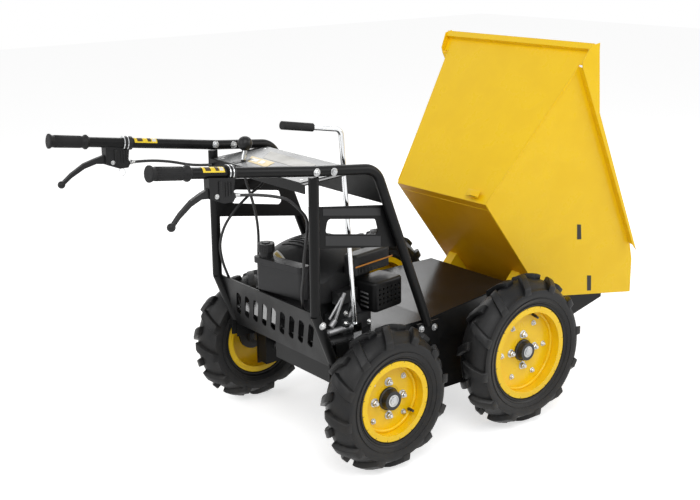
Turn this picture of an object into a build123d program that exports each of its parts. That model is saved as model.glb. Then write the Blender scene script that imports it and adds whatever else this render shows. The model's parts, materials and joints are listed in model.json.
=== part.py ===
"""Walk-behind site dumper: four driven wheels, a petrol engine and a skip that tips forward.

Sizes are in millimetres. +X points forward to the skip, +Y to the operator's left, +Z up.
Side views are drawn from the rear axle on the ground, as (distance forward, height).
"""
import math
import os

from build123d import *

os.makedirs("parts", exist_ok=True)

# Wheels: each axle's place, half track, and its tyre and rim sizes
wheelbase = 507.0
wheel_sizes = {
    "rear": dict(x=0.0, half_track=336.5, tyre_radius=207.0, flange_radius=115.0, seat_radius=102.0),
    "front": dict(x=wheelbase, half_track=350.0, tyre_radius=231.0, flange_radius=141.0, seat_radius=127.0),
}
tyre_width = 110.0
tread_width = 96.0
lugs_a_side = 12
lug_height = 14.0
lug_half_width = 13.0
lug_overlap = 6.0
lug_sweep = math.radians(28.0)
lug_root = 12.0
crown_half_width = 28.0
crown_drop = 9.0
shoulder_drop = 22.0
shoulder_depth = 20.0
bead_gap = 0.3
rim_width = 85.0
rim_sheet = 4.0
rim_dish = 33.0
hub_radius = 48.0
hub_flange = 8.0
hub_boss_radius = 27.0
hub_cap_length = 24.0
axle_radius = 15.0
axle_clearance = 0.05

# Chassis
chassis_half_width = 246.0
skirt_sheet = 4.0
skirt_fold_height = 290.0
chassis_bottom = 128.0
chassis_rear = -113.0
pan_rear_x = 136.0
hanger_half_width = 43.0
hanger_bottom = 145.0
shoulder_rear_x = -90.0
rear_panel_foot = 248.0
rear_panel_fold = 296.0
flange_left_end = 25.0
deck_sheet = 4.0
deck_height = 354.0
deck_bend_x = 252.0
deck_front_x = 626.0
deck_front_height = deck_height + 20.0
deck_rear_half_width = chassis_half_width - 14.0
deck_front_half_width = 185.0
deck_panel_gap = 2.5
front_sheet = 5.0
chain_case_width = 46.0
chain_case_half_height = 52.0

# Tipping hinge and the nose that the tipped skip rests on
hinge_x = 660.0
hinge_height = 335.0
hinge_pin_radius = 8.0
hinge_clearance = 0.05
hinge_eye_radius = 14.5
bracket_half_spacing = 147.0
bracket_width = 36.0
bracket_sheet = 5.0
bracket_gap = 1.0
nose_half_width = 182.0
nose_tip_x = 1067.0
nose_tip_depth = 30.0
nose_gap = 0.3

# Skip, measured from its front bottom edge with the floor level
tip_angle = 52.8
skip_edge_x = 754.0
skip_edge_height = 306.0
skip_sheet = 3.0
skip_floor_length = 430.0
skip_half_width = 204.0
side_lean = 10.4
rear_wall_top = (-583.0, 522.0)
front_lip = (263.0, 270.0)
front_top = (159.0, 331.0)
seam_front = (96.0, 344.0)
seam_rear_height = 466.0
rim_step = 18.0
rear_rim_step = 15.0
rear_rim_height = 20.0
side_rim_outline = [
    # along and up, from the seam round the raised rear corner to the tip
    (-584.0, 474.0), (-606.0, 524.0), (-592.0, 552.0), (-573.0, 540.0), (-401.0, 450.0), (125.0, 346.0)]

# Tubular frame, handlebars and console
tube_radius = 14.0
frame_half_width = chassis_half_width + 4.0
bar_kink = (-156.0, 848.0)
bar_corner = (40.0, 828.0)
bar_foot = (227.0, 345.0)
foot_plate_x = (188.0, 270.0)
foot_plate_heights = (276.0, 352.0)
foot_plate_sheet = 6.0
bar_bend_radius = 62.0
console_rear = (-186.0, 814.0)
console_crease = (7.0, 826.0)
apron_bend = (44.0, 806.0)
apron_foot = (84.0, 722.0)
console_sheet = 3.0
grip_end = (-648.0, 281.0, 914.0)
grip_length = 108.0
grip_radius = 16.5
grip_ring_radius = 20.5
grip_ring_width = 8.0
grip_cap = 5.0
grip_clearance = 0.05
bar_joint_back = 30.0
upright_top = (-166.0, 833.2)
upright_kink = (-170.0, 457.0)
upright_foot = (-112.0, 308.0)
upright_plate_x = (-128.0, -92.0)
upright_plate_heights = (258.0, 318.0)
plate_sheet = 4.0


def at(x, y, z):
    """A place from the rear axle on the ground, moved into the dumper's own frame."""
    return Vector(rear_axle_x + x, y, z)


def skip_place(along, up):
    """Side-view place of a point of the tipped skip, from its front bottom edge, floor level."""
    tip = math.radians(tip_angle)
    return (skip_edge_x + along * math.cos(tip) + up * math.sin(tip),
            skip_edge_height - along * math.sin(tip) + up * math.cos(tip))


# The origin lies on the ground under the middle of the whole length
bar_run = [bar_kink[0] - grip_end[0], frame_half_width - grip_end[1], bar_kink[1] - grip_end[2]]
bar_lean = bar_run[0] / math.hypot(*bar_run)
rear_reach = -grip_end[0] + grip_cap * bar_lean + grip_ring_radius * math.sqrt(1 - bar_lean ** 2)
front_reach = skip_place(*front_lip)[0]
rear_axle_x = (rear_reach - front_reach) / 2


def side_plane(y=0.0):
    """Side view at y: local x forward, local y up, and it extrudes towards the right."""
    return Plane(origin=(rear_axle_x, y, 0), x_dir=(1, 0, 0), z_dir=(0, -1, 0))


def top_plane(z):
    """Plan view at height z."""
    return Plane(origin=(rear_axle_x, 0, z), x_dir=(1, 0, 0), z_dir=(0, 0, 1))


def cross_plane(x):
    """Front view at x: local x to the left, local y up, and it extrudes forwards."""
    return Plane(origin=(rear_axle_x + x, 0, 0), x_dir=(0, 1, 0), z_dir=(1, 0, 0))


def plane_along(start, end):
    """A plane at start that faces end."""
    return Plane(origin=start, z_dir=end - start)


def save(piece, name):
    """Name a finished piece and write its STEP file."""
    piece.part.label = name
    export_step(piece.part, f"parts/{name}.step")


def add_bar(start, end, radius):
    """A round bar between two places, added to the open part."""
    with BuildSketch(plane_along(start, end)) as section:
        Circle(radius)
    extrude(section.sketch, amount=(end - start).length)


def add_bent_bar(points, bend_radius, radius):
    """A round bar along straight runs and bends, added to the open part."""
    with BuildLine() as route:
        FilletPolyline(*points, radius=bend_radius)
    with BuildSketch(Plane(origin=route.line @ 0, z_dir=route.line % 0)) as section:
        Circle(radius)
    sweep(section.sketch, path=route.line)


def add_side_profile(points, y_low, y_high):
    """A side-view outline made solid between two widths, added to the open part."""
    with BuildSketch(side_plane(y_high)) as profile:
        with BuildLine():
            Polyline(*points, close=True)
        make_face()
    extrude(profile.sketch, amount=y_high - y_low)


def add_box(x_range, y_range, z_range, corner=0.0):
    """A box between limits from the rear axle, its upright corners rounded."""
    with BuildSketch(top_plane(z_range[0])) as plan:
        with Locations(((x_range[0] + x_range[1]) / 2, (y_range[0] + y_range[1]) / 2)):
            if corner > 0:
                RectangleRounded(x_range[1] - x_range[0], y_range[1] - y_range[0], corner)
            else:
                Rectangle(x_range[1] - x_range[0], y_range[1] - y_range[0])
    extrude(plan.sketch, amount=z_range[1] - z_range[0])


# ---------------------------------------------------------------- wheels

def wheel_plane(size, side):
    """Axial section plane of a wheel: local x is outwards along the axle, local y is the radius."""
    centre = at(size["x"], side * size["half_track"], size["tyre_radius"])
    return Plane(origin=centre, x_dir=(0, side, 0), z_dir=(side, 0, 0))


def wheel_ring(size, side, along, radius):
    """Polygon section of a tyre's carcass, one side for each lug, at a place along the axle."""
    centre = at(size["x"], side * size["half_track"], size["tyre_radius"])
    plane = Plane(origin=centre + Vector(0, side * along, 0), x_dir=(0, 0, -1), z_dir=(0, side, 0))
    with BuildSketch(plane) as ring:
        RegularPolygon(radius, 2 * lugs_a_side)
    return ring.sketch


def lug_section(size, along, turn, low, high, shift):
    """Section of one lug across the axle: its foot, its flat top, and its shift along the tread."""
    centre = at(size["x"], size["half_track"] + along, size["tyre_radius"])
    corners = []
    for radius, offset in ((low, -lug_half_width), (low, lug_half_width), (high, lug_half_width),
                           (high, -lug_half_width)):
        across = offset + shift
        corners.append((radius * math.sin(turn) + across * math.cos(turn),
                        -radius * math.cos(turn) + across * math.sin(turn)))
    with BuildSketch(Plane(origin=centre, x_dir=(1, 0, 0), z_dir=(0, -1, 0))) as section:
        with BuildLine():
            Polyline(*corners, close=True)
        make_face()
    return section.sketch


def make_tyres(size, axle_name):
    """Left and right tyres with lugs in two staggered rows of chevrons that wrap over the shoulders."""
    outer = size["tyre_radius"]
    carcass = outer - lug_height
    bulge = size["flange_radius"] + (carcass - size["flange_radius"]) * 0.56
    bead = rim_width / 2 - rim_sheet
    pitch = 2 * math.pi / lugs_a_side
    bead_radius = size["flange_radius"] / math.cos(pitch / 4) + bead_gap
    half_section = [(tread_width / 2, carcass - shoulder_drop), (tyre_width / 2, bulge), (bead, bead_radius)]
    stations = [(-along, radius) for along, radius in reversed(half_section)] + [(0, carcass)] + half_section
    lug_stations = [
        # place along the axle, foot radius and top radius
        (-lug_overlap, carcass - lug_root, outer),
        (crown_half_width, carcass - crown_drop - lug_root, outer - crown_drop),
        (tread_width / 2, carcass - shoulder_drop - lug_root, outer - shoulder_drop),
        (tyre_width / 2, bulge + 4, bulge + shoulder_depth),
    ]
    centre = at(size["x"], size["half_track"], outer)
    with BuildPart() as tyre:
        loft(sections=[wheel_ring(size, 1, along, radius) for along, radius in stations], ruled=True)
        lugs = []
        for row in (-1, 1):
            start = 0.0 if row > 0 else pitch / 2
            sections = [lug_section(size, row * along, start, low, high, along * math.tan(lug_sweep))
                        for along, low, high in lug_stations]
            lug = loft(sections=sections, ruled=True, mode=Mode.PRIVATE)
            lugs += [lug.rotate(Axis(centre, (0, 1, 0)), math.degrees(step * pitch))
                     for step in range(lugs_a_side)]
        add(lugs)
        bore_radius = (size["seat_radius"] + bead_gap) / math.cos(pitch / 4)
        loft(sections=[wheel_ring(size, 1, along, bore_radius) for along in (-tyre_width, tyre_width)], ruled=True,
             mode=Mode.SUBTRACT)
    save(tyre, f"tyre_{axle_name}_left")
    with BuildPart() as mirrored_tyre:
        mirror(tyre.part, about=Plane.XZ)
    save(mirrored_tyre, f"tyre_{axle_name}_right")


def make_rim(size, side, name):
    """A pressed rim: two flanges, a barrel under the beads and a dished disc."""
    plane = wheel_plane(size, side)
    edge = rim_width / 2
    seat = size["seat_radius"]
    disc_out = edge - rim_dish
    with BuildPart() as rim:
        with BuildSketch(plane):
            with BuildLine():
                Polyline(
                    (-edge, size["flange_radius"]), (-edge + rim_sheet, size["flange_radius"]),
                    (-edge + rim_sheet, seat), (edge - rim_sheet, seat),
                    (edge - rim_sheet, size["flange_radius"]), (edge, size["flange_radius"]),
                    (edge, seat - rim_sheet), (disc_out, seat - rim_sheet),
                    (disc_out, hub_boss_radius), (disc_out - rim_sheet, hub_boss_radius),
                    (disc_out - rim_sheet, seat - rim_sheet), (-edge, seat - rim_sheet), close=True)
            make_face()
        revolve(axis=Axis(plane.origin, plane.x_dir))
    save(rim, name)


def make_hub(size, side, name):
    """A hub: a flange behind the disc, a boss through it and a bore that runs on the axle."""
    plane = wheel_plane(size, side)
    disc_back = rim_width / 2 - rim_dish - rim_sheet
    with BuildPart() as hub:
        with BuildSketch(plane):
            with BuildLine():
                Polyline(
                    (disc_back - hub_flange - 22, axle_radius + axle_clearance),
                    (disc_back - hub_flange - 22, hub_boss_radius),
                    (disc_back - hub_flange, hub_boss_radius), (disc_back - hub_flange, hub_radius),
                    (disc_back, hub_radius), (disc_back, hub_boss_radius),
                    (disc_back + rim_sheet + hub_cap_length, hub_boss_radius),
                    (disc_back + rim_sheet + hub_cap_length, axle_radius + axle_clearance), close=True)
            make_face()
        revolve(axis=Axis(plane.origin, plane.x_dir))
    save(hub, name)


for axle_name, wheel_size in wheel_sizes.items():
    make_tyres(wheel_size, axle_name)
    for side_name, side_sign in (("left", 1), ("right", -1)):
        make_rim(wheel_size, side_sign, f"rim_{axle_name}_{side_name}")
        make_hub(wheel_size, side_sign, f"hub_{axle_name}_{side_name}")

with BuildPart() as axles:
    for wheel_size in wheel_sizes.values():
        axle_end = wheel_size["half_track"] + rim_width / 2 - rim_dish + 16
        add_bar(at(wheel_size["x"], -axle_end, wheel_size["tyre_radius"]),
                at(wheel_size["x"], axle_end, wheel_size["tyre_radius"]), axle_radius)
save(axles, "axles")

# ---------------------------------------------------------------- chassis

deck_under = deck_height - deck_sheet
deck_under_front = deck_front_height - deck_sheet
panel_top = (upright_kink[0] + 10, upright_kink[1])
panel_fold = (chassis_rear, rear_panel_fold)
panel_run = (panel_top[0] - panel_fold[0]) / (panel_top[1] - panel_fold[1])
deck_rear_x = panel_fold[0] + panel_run * (deck_under - panel_fold[1]) + deck_panel_gap

with BuildPart() as deck:
    add_side_profile(
        [(deck_rear_x, deck_under), (deck_bend_x, deck_under), (deck_front_x, deck_under_front),
         (deck_front_x, deck_front_height), (deck_bend_x, deck_height), (deck_rear_x, deck_height)],
        -deck_rear_half_width, deck_rear_half_width)
    with BuildSketch(top_plane(0)):
        with BuildLine():
            Polyline((deck_rear_x, deck_rear_half_width), (deck_bend_x, deck_rear_half_width),
                     (deck_front_x, deck_front_half_width), (deck_front_x, -deck_front_half_width),
                     (deck_bend_x, -deck_rear_half_width), (deck_rear_x, -deck_rear_half_width), close=True)
        make_face()
    extrude(amount=600, mode=Mode.INTERSECT)
save(deck, "deck")

skirt_outline = [
    # along the bottom from the rear, down round the rear axle and down again to the pan
    (chassis_rear, skirt_fold_height), (chassis_rear, rear_panel_foot), (-hanger_half_width, rear_panel_foot),
    (-hanger_half_width, hanger_bottom), (hanger_half_width, hanger_bottom), (hanger_half_width, rear_panel_foot),
    (pan_rear_x - 16, rear_panel_foot), (pan_rear_x, chassis_bottom), (deck_front_x, chassis_bottom),
    (deck_front_x, skirt_fold_height)]
shoulder_stations = [
    # distance forward, half width and height of the deck edge's underside
    (shoulder_rear_x, deck_rear_half_width, deck_under),
    (deck_bend_x, deck_rear_half_width, deck_under),
    (deck_front_x, deck_front_half_width, deck_under_front),
]
with BuildPart() as side_skirts:
    for side_sign in (1, -1):
        low, high = sorted((side_sign * (chassis_half_width - skirt_sheet), side_sign * chassis_half_width))
        add_side_profile(skirt_outline, low, high)
    for side_sign in (1, -1):
        for x, edge_half_width, edge_height in shoulder_stations:
            with BuildSketch(cross_plane(x)):
                with BuildLine():
                    Polyline((side_sign * chassis_half_width, skirt_fold_height),
                             (side_sign * edge_half_width, edge_height),
                             (side_sign * (edge_half_width - skirt_sheet), edge_height),
                             (side_sign * (chassis_half_width - skirt_sheet), skirt_fold_height), close=True)
                make_face()
        loft(ruled=True)
    for wheel_size in wheel_sizes.values():
        with BuildSketch(side_plane(chassis_half_width + 1)):
            with Locations((wheel_size["x"], wheel_size["tyre_radius"])):
                Circle(axle_radius + axle_clearance)
        extrude(amount=2 * chassis_half_width + 2, mode=Mode.SUBTRACT)
save(side_skirts, "side_skirts")


front_plate_back = deck_front_x - front_sheet
front_half_width = deck_front_half_width - skirt_sheet
deck_slope = (deck_front_height - deck_height) / (deck_front_x - deck_bend_x)
front_plate_top = deck_under_front - deck_slope * (deck_front_x - front_plate_back)
lug_sheet = 6.0
lug_inner = bracket_width / 2 + bracket_gap
with BuildPart() as chassis_pan:
    inner_half_width = chassis_half_width - skirt_sheet
    add_box((pan_rear_x, deck_front_x), (-inner_half_width, inner_half_width),
            (chassis_bottom, chassis_bottom + skirt_sheet))
    with BuildSketch(cross_plane(front_plate_back)):
        with BuildLine():
            Polyline((-inner_half_width, chassis_bottom), (inner_half_width, chassis_bottom),
                     (inner_half_width, skirt_fold_height), (front_half_width, front_plate_top),
                     (-front_half_width, front_plate_top), (-inner_half_width, skirt_fold_height), close=True)
        make_face()
    extrude(amount=deck_front_x - front_plate_back)
    for side_sign in (1, -1):
        for offset in (-1, 1):
            lug_centre = side_sign * bracket_half_spacing
            low, high = sorted((lug_centre + offset * lug_inner, lug_centre + offset * (lug_inner + lug_sheet)))
            add_side_profile(
                [(deck_front_x, hinge_height - 26), (deck_front_x, hinge_height + 26),
                 (hinge_x, hinge_height + hinge_eye_radius), (hinge_x, hinge_height - hinge_eye_radius)], low, high)
            add_bar(at(hinge_x, low, hinge_height), at(hinge_x, high, hinge_height), hinge_eye_radius)
    with BuildSketch(side_plane(chassis_half_width)):
        with Locations((hinge_x, hinge_height)):
            Circle(hinge_pin_radius + hinge_clearance)
    extrude(amount=2 * chassis_half_width, mode=Mode.SUBTRACT)
save(chassis_pan, "chassis_pan")

with BuildPart() as hinge_pin:
    pin_half_length = bracket_half_spacing + lug_inner + lug_sheet + 4
    add_bar(at(hinge_x, -pin_half_length, hinge_height), at(hinge_x, pin_half_length, hinge_height),
            hinge_pin_radius)
save(hinge_pin, "hinge_pin")

lip_x, lip_height = skip_place(*front_lip)
rest_slope = (lip_height - skip_edge_height) / (lip_x - skip_edge_x)


def rest_height(x):
    """Height of the nose's top, just under the tipped front wall."""
    return skip_edge_height - nose_gap + rest_slope * (x - skip_edge_x)


nose_tip_top = rest_height(nose_tip_x)
with BuildPart() as nose:
    add_side_profile(
        [(deck_front_x, chassis_bottom), (nose_tip_x, nose_tip_top - nose_tip_depth), (nose_tip_x, nose_tip_top),
         (skip_edge_x - 8, rest_height(skip_edge_x - 8)), (skip_edge_x - 20, hinge_height - 34),
         (deck_front_x, hinge_height - 34)],
        -nose_half_width, nose_half_width)
save(nose, "nose")

with BuildPart() as chain_cases:
    for side_sign in (1, -1):
        case_side = inner_half_width - 4
        low, high = sorted((side_sign * case_side, side_sign * (case_side - chain_case_width)))
        rear, front = wheel_sizes["rear"], wheel_sizes["front"]
        add_side_profile(
            [(-hanger_half_width, rear["tyre_radius"] - chain_case_half_height),
             (-hanger_half_width, rear["tyre_radius"] + chain_case_half_height),
             (wheelbase + 55, front["tyre_radius"] + chain_case_half_height),
             (wheelbase + 55, front["tyre_radius"] - chain_case_half_height)], low, high)
    for wheel_size in wheel_sizes.values():
        with BuildSketch(side_plane(chassis_half_width)):
            with Locations((wheel_size["x"], wheel_size["tyre_radius"])):
                Circle(axle_radius + axle_clearance)
        extrude(amount=2 * chassis_half_width, mode=Mode.SUBTRACT)
save(chain_cases, "chain_cases")

# ---------------------------------------------------------------- tubular frame and console

panel_slots = 9
panel_slot_pitch = 46.0
slot_length = 92.0
slot_width = 22.0
panel_half_width = frame_half_width - tube_radius
panel_slope = math.degrees(math.atan2(panel_top[1] - panel_fold[1], panel_fold[0] - panel_top[0]))
panel_length = math.hypot(panel_top[1] - panel_fold[1], panel_fold[0] - panel_top[0])

with BuildPart() as rear_panel:
    add_side_profile(
        [panel_top, panel_fold, (chassis_rear - plate_sheet, panel_fold[1] - 1),
         (panel_top[0] - plate_sheet, panel_top[1] - 1)], -panel_half_width, panel_half_width)
    add_side_profile(
        [(chassis_rear, panel_fold[1] + 0.5), (chassis_rear, rear_panel_foot),
         (chassis_rear - plate_sheet, rear_panel_foot), (chassis_rear - plate_sheet, panel_fold[1] + 0.5)],
        -panel_half_width, flange_left_end)
    panel_face = Plane(
        origin=at((panel_top[0] + panel_fold[0]) / 2, 0, (panel_top[1] + panel_fold[1]) / 2),
        x_dir=(0, 1, 0), z_dir=(-math.sin(math.radians(panel_slope)), 0, -math.cos(math.radians(panel_slope))))
    with BuildSketch(panel_face):
        with GridLocations(panel_slot_pitch, 1, panel_slots, 1):
            SlotOverall(slot_length, slot_width, rotation=62)
    extrude(amount=20, both=True, mode=Mode.SUBTRACT)
save(rear_panel, "rear_panel")

for side_name, side_sign in (("left", 1), ("right", -1)):
    y = side_sign * frame_half_width
    kink = at(bar_kink[0], y, bar_kink[1])
    tail = at(grip_end[0], side_sign * grip_end[1], grip_end[2])
    joint = kink + (tail - kink).normalized() * bar_joint_back
    with BuildPart() as frame_tube:
        corner = at(bar_corner[0], y, bar_corner[1])
        foot = at(bar_foot[0], y, bar_foot[1])
        add_bent_bar([kink, corner, foot], bar_bend_radius, tube_radius)
        add_bar(joint, kink, tube_radius)
        foot_side = chassis_half_width + foot_plate_sheet
        low, high = sorted((side_sign * chassis_half_width, side_sign * foot_side))
        add_box(foot_plate_x, (low, high), foot_plate_heights)
    save(frame_tube, f"frame_tube_{side_name}")

    with BuildPart() as handlebar:
        add_bar(tail, joint, tube_radius)
    save(handlebar, f"handlebar_{side_name}")

    with BuildPart() as upright:
        knee = at(upright_kink[0], y, upright_kink[1])
        add_bar(at(upright_top[0], y, upright_top[1]), knee, tube_radius)
        add_bar(knee, at(upright_foot[0], y, upright_foot[1]), tube_radius)
        foot_side = chassis_half_width + foot_plate_sheet
        low, high = sorted((side_sign * chassis_half_width, side_sign * foot_side))
        add_box(upright_plate_x, (low, high), upright_plate_heights)
    save(upright, f"upright_{side_name}")

with BuildPart() as grips:
    for side_sign in (1, -1):
        tail = at(grip_end[0], side_sign * grip_end[1], grip_end[2])
        kink = at(bar_kink[0], side_sign * frame_half_width, bar_kink[1])
        inwards = (kink - tail).normalized()
        add_bar(tail - inwards * grip_cap, tail + inwards * grip_length, grip_radius)
        for ring_start in (-grip_cap, grip_length - 1.5 * grip_ring_width):
            add_bar(tail + inwards * ring_start, tail + inwards * (ring_start + grip_ring_width), grip_ring_radius)
        with BuildSketch(Plane(origin=tail, z_dir=inwards)):
            Circle(tube_radius + grip_clearance)
        extrude(amount=grip_length + 1, mode=Mode.SUBTRACT)
save(grips, "grips")

plate_half_width = frame_half_width - tube_radius
plate_outline = [(-172.0, 639.0), (-172.0, 752.0), (88.0, 718.0), (134.0, 592.0)]
window_outline = [(-113.0, 711.0), (50.0, 685.0), (62.0, 639.0), (-122.0, 671.0)]
with BuildPart() as side_plates:
    for side_sign in (1, -1):
        low, high = sorted((side_sign * (plate_half_width - plate_sheet), side_sign * plate_half_width))
        add_side_profile(plate_outline, low, high)
    with BuildSketch(side_plane(plate_half_width + 1)) as window:
        with BuildLine():
            FilletPolyline(*window_outline, radius=12, close=True)
        make_face()
    extrude(amount=2 * plate_half_width + 2, mode=Mode.SUBTRACT)
save(side_plates, "side_plates")

tip_lever_y = -200.0
tip_lever_foot = (1.0, deck_height + 25.0)
tip_lever_bend = (-38.0, 937.0)
tip_lever_end = (-221.0, 968.0)
tip_grip_length = 92.0
tip_grip_radius = 11.0
tip_lever_radius = 7.0
tip_lever_slot = 16.0
tip_lever_bend_radius = 22.0
tip_slot_length = 70.0
with BuildPart() as console:
    add_side_profile(
        [console_rear, console_crease, apron_bend, apron_foot,
         (apron_foot[0] - console_sheet, apron_foot[1]),
         (apron_bend[0] - console_sheet * 0.8, apron_bend[1] - console_sheet * 0.8),
         (console_crease[0], console_crease[1] - console_sheet),
         (console_rear[0] + console_sheet, console_rear[1] - console_sheet),
         (console_rear[0] + console_sheet, console_rear[1] - 25), (console_rear[0], console_rear[1] - 25)],
        -plate_half_width, plate_half_width)
    slot_share = (console_crease[1] - tip_lever_foot[1]) / (tip_lever_bend[1] - tip_lever_foot[1])
    slot_x = tip_lever_foot[0] + (tip_lever_bend[0] - tip_lever_foot[0]) * slot_share
    with BuildSketch(top_plane(apron_foot[1])):
        with Locations((slot_x, tip_lever_y)):
            SlotOverall(tip_slot_length, 2 * tip_lever_slot)
    extrude(amount=tip_lever_bend[1] - apron_foot[1], mode=Mode.SUBTRACT)
save(console, "console")

with BuildPart() as tip_lever:
    add_bent_bar([at(tip_lever_foot[0], tip_lever_y, tip_lever_foot[1]),
                  at(tip_lever_bend[0], tip_lever_y, tip_lever_bend[1]),
                  at(tip_lever_end[0], tip_lever_y, tip_lever_end[1])], tip_lever_bend_radius, tip_lever_radius)
    add_box((tip_lever_foot[0] - 14, tip_lever_foot[0] + 14), (tip_lever_y - 12, tip_lever_y + 12),
            (deck_height, tip_lever_foot[1] + 8))
save(tip_lever, "tip_lever")

with BuildPart() as tip_lever_grip:
    lever_end = at(tip_lever_end[0], tip_lever_y, tip_lever_end[1])
    along_lever = (at(tip_lever_bend[0], tip_lever_y, tip_lever_bend[1]) - lever_end).normalized()
    add_bar(lever_end - along_lever * grip_cap, lever_end + along_lever * tip_grip_length, tip_grip_radius)
    with BuildSketch(Plane(origin=lever_end, z_dir=along_lever)):
        Circle(tip_lever_radius + grip_clearance)
    extrude(amount=tip_grip_length + 1, mode=Mode.SUBTRACT)
save(tip_lever_grip, "tip_lever_grip")

gear_lever_y = 118.0
gear_lever_x = -146.0
gear_knob_x = -138.0
gear_knob_height = 868.0
gear_knob_radius = 21.0
gate_half_length = 30.0
gate_sheet = 3.0
console_slope = (console_crease[1] - console_rear[1]) / (console_crease[0] - console_rear[0])


def console_height(x):
    """Height of the console's upper face."""
    return console_rear[1] + console_slope * (x - console_rear[0])


with BuildPart() as gear_lever:
    gate_rear, gate_front = gear_lever_x - gate_half_length, gear_lever_x + gate_half_length
    add_side_profile(
        [(gate_rear, console_height(gate_rear)), (gate_front, console_height(gate_front)),
         (gate_front, console_height(gate_front) + gate_sheet), (gate_rear, console_height(gate_rear) + gate_sheet)],
        gear_lever_y - 10, gear_lever_y + 10)
    add_side_profile(
        [(gear_lever_x - 6, console_height(gear_lever_x) + 1), (gear_lever_x + 6, console_height(gear_lever_x) + 1),
         (gear_knob_x + 6, gear_knob_height), (gear_knob_x - 6, gear_knob_height)],
        gear_lever_y - 2.5, gear_lever_y + 2.5)
    with Locations(at(gear_knob_x, gear_lever_y, gear_knob_height)):
        Sphere(gear_knob_radius)
save(gear_lever, "gear_lever")

housing_outline = [
    (-497.0, 884.0), (-425.0, 874.0), (-430.0, 840.0), (-424.0, 828.0), (-432.0, 816.0), (-458.0, 816.0),
    (-497.0, 832.0)]
housing_y = (262.0, 288.0)
clamp_x = -440.0
clamp_radius = 19.0
clamp_length = 22.0
lever_thickness = 12.0
lever_knob_radius = 10.5
knob_turn = (0, 90, 0)
lever_stations = [
    # place of the blade's middle from the housing to the knob, and its height there
    (-497.5, 279.0, 845.0, 24.0), (-520.0, 283.0, 843.0, 15.0), (-552.0, 291.0, 832.0, 14.0),
    (-588.0, 299.0, 809.0, 12.0), (-614.0, 305.0, 786.0, 11.0)]
with BuildPart() as lever_housings:
    for side_sign in (1, -1):
        tail = at(grip_end[0], side_sign * grip_end[1], grip_end[2])
        kink = at(bar_kink[0], side_sign * frame_half_width, bar_kink[1])
        inwards = (kink - tail).normalized()
        clamp_start = tail + inwards * ((clamp_x - grip_end[0]) / ((kink - tail).X / (kink - tail).length))
        add_bar(clamp_start, clamp_start + inwards * clamp_length, clamp_radius)
        low, high = sorted((side_sign * housing_y[0], side_sign * housing_y[1]))
        add_side_profile(housing_outline, low, high)
        with BuildSketch(Plane(origin=tail, z_dir=inwards)):
            Circle(tube_radius + grip_clearance)
        extrude(amount=(kink - tail).length, mode=Mode.SUBTRACT)
save(lever_housings, "lever_housings")

with BuildPart() as control_levers:
    for side_sign in (1, -1):
        sections = []
        for x, y, z, height in lever_stations:
            across = Plane(origin=at(x, side_sign * y, z), x_dir=(0, 1, 0), z_dir=(-1, 0, 0))
            with BuildSketch(across) as section:
                Rectangle(lever_thickness, height)
            sections.append(section.sketch)
        loft(sections=sections, ruled=True)
        knob_x, knob_y, knob_z = lever_stations[-1][:3]
        with Locations(at(knob_x, side_sign * knob_y, knob_z)):
            Sphere(lever_knob_radius, rotation=knob_turn)
save(control_levers, "control_levers")

# ---------------------------------------------------------------- control cables

cable_radius = 4.0
cable_bend_share = 0.45
cable_routes = {
    # each cable's run from the piece that holds its first end to the piece that holds its last
    "right_lever_to_deck": [
        (-421.6, -271, 828), (-352, -265, 818), (-294, -257, 804), (-247, -250, 788), (-210, -238, 758),
        (-167, -222, 718), (-162, -208, 662), (-167, -199, 606), (-161, -188, 550), (-160, -173, 497),
        (-146, -161, 444), (-126, -151, 399), (-112, -142, deck_height + 2.2)],
    "left_lever_to_console": [
        (-421.6, 271, 829), (-356, 265, 826), (-298, 258, 816), (-242, 246, 800), (-187.9, 224, 797)],
    "throttle": [
        (-140, 130, 813), (-133, 132, 760), (-114, 131, 704), (-101, 129, 645), (-97, 128, 590), (-102, 126, 535),
        (-98, 129, 478), (-104, 126, 420), (-100, 124, deck_height + 1.0)],
    "brake": [
        (0, 196, 821.4), (6, 200, 768), (-26, 203, 721), (-76, 204, 696), (-126, 206, 658), (-164, 208, 615),
        (-182, 210, 563), (-174, 212, 508), (-154, 214, 455), (-130, 212, 404), (-116, 209, deck_height + 1.8)],
}


def bend_radii(points):
    """The radius of each bend of a route: as wide as its shorter neighbouring run allows."""
    radii = []
    for before, corner, after in zip(points, points[1:], points[2:]):
        half_turn = math.radians((corner - before).get_angle(after - corner)) / 2
        run = min((corner - before).length, (after - corner).length)
        radii.append(cable_bend_share * run / math.tan(half_turn))
    return radii


with BuildPart() as control_cables:
    for cable_name, places in cable_routes.items():
        cable_points = [at(*place) for place in places]
        radii = bend_radii(cable_points)
        print(cable_name, "cable, tightest bend", round(min(radii), 1), "mm")
        add_bent_bar(cable_points, radii, cable_radius)
save(control_cables, "control_cables")

# ---------------------------------------------------------------- engine

# The engine stands turned on the deck: its places are from its own middle, x to its output side
engine_x = 17.0
engine_turn = 10.0
block_half_width = 92.0
block_corner = 40.0
shroud_bottom = deck_height + 84.0
shroud_top = shroud_bottom + 152.0
shroud_half_length = 130.0
shroud_half_width = 125.0
shroud_corner = 62.0
dome_radius = 212.0
dome_allowance = 20.0
dome_place = (14.0, 18.0)
side_gap = 0.3
tank_x = (-166.0, -shroud_half_length - side_gap)
tank_y = (-105.0, 84.0)
tank_foot = (tank_x[0] + 20.0, shroud_bottom - 8.0)
tank_heights = (panel_top[1] + 3.0, shroud_bottom + 117.0)
tank_lip = 5.0
tank_lip_height = 17.0
cap_place = (-146.0, 56.0)
neck_radius = 20.0
neck_height = 16.0
cap_radius = 24.0
cap_height = 24.0
guard_x = (14.0, 136.0)
guard_y = (-215.0, -shroud_half_width - side_gap)
guard_heights = (deck_height + 46.0, deck_height + 134.0)
guard_round = 15.0
guard_hole_radius = 4.0
guard_hole_depth = 6.0
guard_hole_pitch = (17.0, 14.0)
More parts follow.
